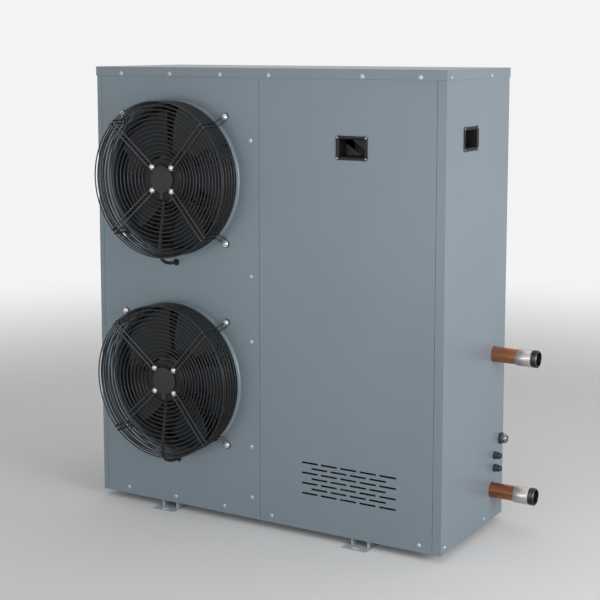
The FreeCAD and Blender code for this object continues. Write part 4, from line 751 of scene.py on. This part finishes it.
def makeHandle(node, toward):
    low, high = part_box(node)
    middle = (low + high) / 2
    matrix = Matrix.Rotation(math.pi / 2, 4, "X")
    if toward == "front":
        matrix = Matrix.Translation((middle.x, low.y, middle.z)) @ matrix
    else:
        matrix = (Matrix.Translation((high.x, middle.y, middle.z))
                  @ Matrix.Rotation(math.pi / 2, 4, "Z") @ matrix)
    work = bmesh.new()
    made = bmesh.ops.create_grid(
        work, x_segments=1, y_segments=1, size=0.5,
        matrix=Matrix.Diagonal((handle["width"], handle["height"], 1, 1)))
    bmesh.ops.bevel(work, geom=made["verts"], offset=handle["corner"],
                    segments=handle["cornerSteps"], profile=0.5, affect="VERTICES", material=-1)
    face = work.faces[:]
    rim = [edge for edge in work.edges if edge.is_boundary]
    skirt = bmesh.ops.extrude_edge_only(work, edges=rim)["geom"]
    bmesh.ops.translate(work, verts=only(bmesh.types.BMVert, skirt),
                        vec=(0, 0, -handle["proud"]))
    for thickness, depth in handle["insets"]:
        bmesh.ops.inset_region(work, faces=face, thickness=thickness, depth=depth,
                               use_even_offset=True)
    deep = bmesh.ops.extrude_face_region(work, geom=face)["geom"]
    floorVerts = only(bmesh.types.BMVert, deep)
    bmesh.ops.delete(work, geom=face, context="FACES_ONLY")
    bmesh.ops.translate(work, verts=floorVerts, vec=(0, 0, -handle["depth"]))
    bmesh.ops.scale(work, verts=floorVerts, vec=(handle["draft"], handle["draft"], 1))
    tidyShape(work, matrix)
    piece = addPiece(node + "_moulding", work, "casing", "handle_plastic",
                     smoothAngles["moulding"])
    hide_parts(node)
    wall = piece.modifiers.new("wall", "SOLIDIFY")
    wall.thickness = handle["wall"]
    wall.offset = -1
    roundEdges(piece, handle["softEdge"], segments=3, angle=40)


makeHandle("front_handle", "front")
makeHandle("side_handle", "side")
print("handles made")


# water connections: a plain band that the copper is brazed into, and a threaded end
nipple = {"radius": 0.0239, "bore": 0.019, "seat": 0.021, "seatDepth": 0.012, "length": 0.060,
          "shoulder": 0.0425, "core": 0.0223, "crest": 0.0238, "pitch": 0.0023, "turns": 6,
          "threadFrom": 0.0433, "sunk": 0.0002, "crestDrop": 0.00015, "overlap": 0.0004,
          "boreEdge": 0.0010, "endEdge": 0.0016, "braze": 0.0014, "steps": 72, "turnSteps": 40,
          "brazeSteps": 48}


def nippleBand(part):
    radius, bore, seat = nipple["radius"], nipple["bore"], nipple["seat"]
    depth, end = nipple["seatDepth"], nipple["shoulder"]
    spinProfile(part, [(bore, end), (bore, depth), (seat, depth), (seat, 0),
                       (radius - 0.0012, 0), (radius - 0.0003, 0.0004), (radius, 0.0014),
                       (radius, end - 0.0012), (radius - 0.0010, end)],
                nipple["steps"], closed=True)


def nippleThread(part):
    bore, core, crest, end = nipple["bore"], nipple["core"], nipple["crest"], nipple["length"]
    inside, outside = nipple["boreEdge"], nipple["endEdge"]
    start = nipple["shoulder"] - nipple["overlap"]
    spinProfile(part, [(bore, start), (bore, end - inside), (bore + inside, end),
                       (core - outside, end), (core, end - outside), (core, start)],
                nipple["steps"], closed=True)
    pitch, foot, flank = nipple["pitch"], core - nipple["sunk"], crest - nipple["crestDrop"]
    tooth = [(foot, 0), (flank, pitch * 0.42), (crest, pitch * 0.5), (flank, pitch * 0.58),
             (foot, pitch)]
    verts = [part.verts.new((radius, 0, nipple["threadFrom"] + height))
             for radius, height in tooth]
    edges = [part.edges.new(pair) for pair in zip(verts, verts[1:])]
    turns, steps = nipple["turns"], nipple["turnSteps"]
    bmesh.ops.spin(part, geom=verts + edges, cent=(0, 0, 0), axis=(0, 0, 1),
                   dvec=(0, 0, pitch / steps), angle=2 * math.pi * turns, steps=steps * turns)


def nippleBraze(part):  # the ring of solder where the copper enters
    seat, braze = nipple["seat"], nipple["braze"]
    spinProfile(part, [(seat, -braze), (seat + 0.0006, -braze * 0.5),
                       (nipple["radius"] - 0.0008, 0), (seat, 0.0004)],
                nipple["brazeSteps"], closed=True)


alongX = Matrix.Rotation(math.pi / 2, 4, "Y")  # lays a shape made about Z along X


def alongPipes(pieceName, makePart, slot, look=None):
    work = bmesh.new()
    for low, high in nodeIslands("threaded_ends"):
        part = bmesh.new()
        makePart(part)
        middle = (low + high) / 2
        joinPart(work, part, Matrix.Translation((low.x, middle.y, middle.z)) @ alongX)
    piece = addPiece(pieceName, work, "casing", slot, smoothAngles["turned"], look)
    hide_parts("threaded_ends")


alongPipes("pipe_end_bands", nippleBand, "nickel")
# the threads take the near-black metal, a painted dark reflection
alongPipes("pipe_end_threads", nippleThread, "nickel", "thread_nickel_painted_dark")
alongPipes("pipe_end_brazing", nippleBraze, "nickel", "valve_brass")
print("water connections made")


# cable glands: a hexagon nut with its collar and thread, and a ribbed or smooth domed nose
largeGland = {"radius": 0.0165, "nose": 0.0132, "nut": 0.008, "reach": 0.022, "bore": 0.0072}
smallGland = {"radius": 0.011, "nose": 0.0088, "nut": 0.008, "reach": 0.022, "bore": 0.0047}
glandShape = {"thread": 0.006, "collar": 0.0012, "ribs": 16, "ribHeight": 0.0012,
              "ribWidth": 0.16, "softEdge": 0.0004, "steps": 48}


def glandNut(part, gland):
    bore, nose, nut = gland["bore"], gland["nose"], gland["nut"]
    bmesh.ops.create_circle(part, segments=6, radius=gland["radius"], cap_ends=True)
    up = bmesh.ops.extrude_face_region(part, geom=part.faces[:])["geom"]
    bmesh.ops.translate(part, verts=only(bmesh.types.BMVert, up), vec=(0, 0, nut))
    thread, wide = -glandShape["thread"], nose + glandShape["collar"]
    spinProfile(part, [(bore, thread), (nose * 0.8, thread), (nose * 0.8, 0), (wide, 0),
                       (wide, nut + 0.001), (nose, nut + 0.002), (bore, nut + 0.002)],
                glandShape["steps"], closed=True)


def glandNose(part, gland):
    bore, nose, nut, reach = gland["bore"], gland["nose"], gland["nut"], gland["reach"]
    spinProfile(part, [(bore, nut), (nose, nut), (nose, reach - 0.007),
                       (nose * 0.97, reach - 0.0045), (nose * 0.88, reach - 0.0020),
                       (nose * 0.76, reach - 0.0005), (nose * 0.68, reach),
                       (bore + 0.0006, reach), (bore, reach - 0.0008)],
                glandShape["steps"], closed=True)


def ribbedNose(part, gland):
    glandNose(part, gland)
    nose, nut, reach = gland["nose"], gland["nut"], gland["reach"]
    rib = (Matrix.Translation((nose - 0.0001, 0, (nut + reach - 0.004) / 2))
           @ Matrix.Diagonal((glandShape["ribHeight"], nose * glandShape["ribWidth"],
                              reach - nut - 0.006, 1)))
    for number in range(glandShape["ribs"]):
        turn = Matrix.Rotation(2 * math.pi * number / glandShape["ribs"], 4, "Z")
        bmesh.ops.create_cube(part, size=1, matrix=turn @ rib)


def makeGlandPart(node, pieceName, makePart, slot, gland, look=None):
    work = bmesh.new()
    for low, high in nodeIslands(node):
        middle = (low + high) / 2
        part = bmesh.new()
        makePart(part, gland)
        seat = (high.x - gland["reach"], middle.y, middle.z)
        joinPart(work, part, Matrix.Translation(seat) @ alongX)
    piece = addPiece(pieceName, work, "casing", slot, smoothAngles["turned"], look)
    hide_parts(node)
    roundEdges(piece, glandShape["softEdge"], angle=40)


makeGlandPart("large_cable_gland", "large_gland_nut", glandNut, "gland_plastic", largeGland)
# the nose takes the darkened nickel, a painted dark reflection
makeGlandPart("large_cable_gland", "large_gland_nose", glandNose, "nickel", largeGland,
              "gland_nickel_painted_dark")
makeGlandPart("small_cable_glands", "small_gland_nuts", glandNut, "gland_plastic", smallGland)
makeGlandPart("small_cable_glands", "small_gland_noses", ribbedNose, "gland_plastic", smallGland)
print("glands made")


# coil: thin fins round the corner, inside two guards of round wires
coil = {"pitch": 0.0024, "thickness": 0.0005, "depth": 0.044, "outerBend": 0.080, "fold": 0.005,
        "inset": 0.001, "bendSteps": 24, "guardWire": 0.0019, "guardSides": 12,
        "guardEdge": 0.0006}


def makeFins():
    low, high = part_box("coil_fins")
    work = bmesh.new()
    bend, pitch, inset, half = coil["outerBend"], coil["pitch"], coil["inset"], coil["depth"] / 2
    middle = bend - half
    centre = Vector((low.x + bend, high.y - bend))
    height, level = high.z - low.z, (low.z + high.z) / 2
    size = Matrix.Diagonal((coil["depth"], coil["thickness"], height, 1))

    def fin(x, y, angle):
        place = Matrix.Translation((x, y, level)) @ Matrix.Rotation(angle, 4, "Z")
        bmesh.ops.create_cube(work, size=1, matrix=place @ size)

    for number in range(int((centre.y - low.y) / pitch)):
        fin(low.x + half, low.y + inset + pitch * number, 0)
    turns = int(middle * math.pi / 2 / pitch)
    for number in range(turns):
        angle = math.pi / 2 * (number + 0.5) / turns
        fin(centre.x - middle * math.cos(angle), centre.y + middle * math.sin(angle), -angle)
    for number in range(int((high.x - centre.x) / pitch)):
        fin(high.x - inset - pitch * number, high.y - half, math.pi / 2)
    piece = addPiece("coil_plates", work, "casing", "fin_aluminium")
    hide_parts("coil_fins")


def makeFinCore():  # the closed middle of the fins, where their collars meet round the tubes
    low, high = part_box("coil_fins")
    work = bmesh.new()
    fold, bend, inset = coil["fold"], coil["outerBend"], coil["inset"]
    centre = Vector((low.x + bend, high.y - bend, 0))
    start = Matrix.Translation((low.x + coil["depth"] / 2, low.y + inset, (low.z + high.z) / 2))
    size = (coil["depth"] - 2 * fold, high.z - low.z - 2 * inset, 1, 1)
    bmesh.ops.create_grid(work, x_segments=1, y_segments=1, size=0.5,
                          matrix=start @ Matrix.Rotation(math.pi / 2, 4, "X")
                          @ Matrix.Diagonal(size))

    def onward(faces, step):
        made = bmesh.ops.extrude_face_region(work, geom=faces)["geom"]
        bmesh.ops.translate(work, verts=only(bmesh.types.BMVert, made), vec=step)
        return only(bmesh.types.BMFace, made)

    end = onward(work.faces[:], (0, centre.y - low.y - inset, 0))
    turned = bmesh.ops.spin(work, geom=end, cent=centre, axis=(0, 0, 1), angle=-math.pi / 2,
                            steps=coil["bendSteps"])
    onward(only(bmesh.types.BMFace, turned["geom_last"]), (high.x - centre.x - inset, 0, 0))
    tidyShape(work)
    piece = addPiece("coil_core", work, "casing", "fin_aluminium")
    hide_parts("coil_fins")


makeFins()
makeFinCore()


def makeCoilGuard(node):
    work = bmesh.new()
    wire = coil["guardWire"]
    for low, high in nodeIslands(node):
        size, middle = high - low, (low + high) / 2
        longest = max(range(3), key=lambda axis: size[axis])
        toward = Vector((0, 0, 0))
        toward[longest] = 1
        turn = Vector((0, 0, 1)).rotation_difference(toward).to_matrix().to_4x4()
        bmesh.ops.create_cone(work, cap_ends=True, segments=coil["guardSides"], radius1=wire,
                              radius2=wire, depth=size[longest],
                              matrix=Matrix.Translation(middle) @ turn)
    piece = addPiece(node + "_wires", work, "casing", "black_wire", smoothAngles["wire"])
    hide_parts(node)
    roundEdges(piece, coil["guardEdge"], angle=60)


makeCoilGuard("coil_guard_left")
makeCoilGuard("coil_guard_rear")
print("coil and its guards made")


# studio: a pale floor that fades into the background's pale tone, and soft light. A lamp is its
# name, place, target, size and power
studio = {"floor": (0.85, 0.85, 0.85), "floorRough": 0.8, "floorShine": 0.1, "floorSize": 30,
          "pale": 0.90, "world": 0.42, "fadeFrom": 1.5, "fadeTo": 4.2,
          "lamps": (("right window", (3.3, -0.8, 1.1), (0.55, -0.1, 1.0), (1.8, 1.1), 58),
                    ("front window", (-0.8, -5.8, 0.60), (0.1, 0, 0.2), (3.6, 1.1), 55),
                    ("key", (1.5, -3.9, 1.2), (0, 0, 0.2), (1.1, 1.1), 12),
                    ("overhead", (0, 0.4, 4.0), (0, 0, 0), (3, 3), 16))}


def addLamp(name, place, target, size, power):
    lamp = bpy.data.lights.new(name, "AREA")
    lamp.shape = "RECTANGLE"
    lamp.size, lamp.size_y = size
    lamp.energy = power
    holder = bpy.data.objects.new(name, lamp)
    holder.location = place
    holder.visible_camera = False
    holder.rotation_euler = (Vector(target) - Vector(place)).to_track_quat("-Z", "Y").to_euler()
    bpy.context.scene.collection.objects.link(holder)


def seenRays(tree):  # 1 for the rays that show the background: camera, glossy and transmission
    path = tree.nodes.new("ShaderNodeLightPath")
    total = None
    for name in ("Is Camera Ray", "Is Glossy Ray", "Is Transmission Ray"):
        if total is None:
            total = path.outputs[name]
            continue
        step = tree.nodes.new("ShaderNodeMath")
        step.operation = "ADD"
        step.use_clamp = True
        tree.links.new(total, step.inputs[0])
        tree.links.new(path.outputs[name], step.inputs[1])
        total = step.outputs[0]
    return total


def mixShaders(tree, share, first, second, end):
    mix = tree.nodes.new("ShaderNodeMixShader")
    for source, socket in zip((share, first, second), mix.inputs):
        tree.links.new(source, socket)
    tree.links.new(mix.outputs[0], tree.nodes[end].inputs["Surface"])


def makeFloor():
    work = bmesh.new()
    bmesh.ops.create_grid(work, x_segments=1, y_segments=1, size=studio["floorSize"])
    mesh = asMesh(work, "floor")
    paint = Paint("floor_paint")
    paint.finish({"Base Color": (*studio["floor"], 1), "Roughness": studio["floorRough"],
                  "Specular IOR Level": studio["floorShine"]})
    tree = paint.tree
    distance = paint.add("ShaderNodeVectorMath", {"operation": "LENGTH"}, {0: paint.place()},
                         "Value")
    fade = paint.add("ShaderNodeMapRange", {"interpolation_type": "SMOOTHSTEP"},
                     {"Value": distance, "From Min": studio["fadeFrom"],
                      "From Max": studio["fadeTo"]})
    glow = tree.nodes.new("ShaderNodeEmission")
    glow.inputs["Strength"].default_value = studio["pale"]
    share = fade * Signal(paint, seenRays(tree))
    mixShaders(tree, share.socket, paint.shader.outputs[0], glow.outputs[0], "Material Output")
    mesh.materials.append(paint.material)
    floor = bpy.data.objects.new("floor", mesh)
    bpy.context.scene.collection.objects.link(floor)


def makeWorld():
    world = bpy.data.worlds.new("studio")
    bpy.context.scene.world = world
    world.use_nodes = True
    tree = world.node_tree
    light, seen = tree.nodes["Background"], tree.nodes.new("ShaderNodeBackground")
    for node, strength in ((light, studio["world"]), (seen, studio["pale"])):
        node.inputs["Color"].default_value = (1, 1, 1, 1)
        node.inputs["Strength"].default_value = strength
    mixShaders(tree, seenRays(tree), light.outputs[0], seen.outputs[0], "World Output")


makeFloor()
makeWorld()
for lamp in studio["lamps"]:
    addLamp(*lamp)
bpy.context.scene.view_settings.view_transform = "Standard"
print("studio made")

for name, node in cadNodes.items():
    if not node.hide_render:
        print("plain CAD node still shown:", name)
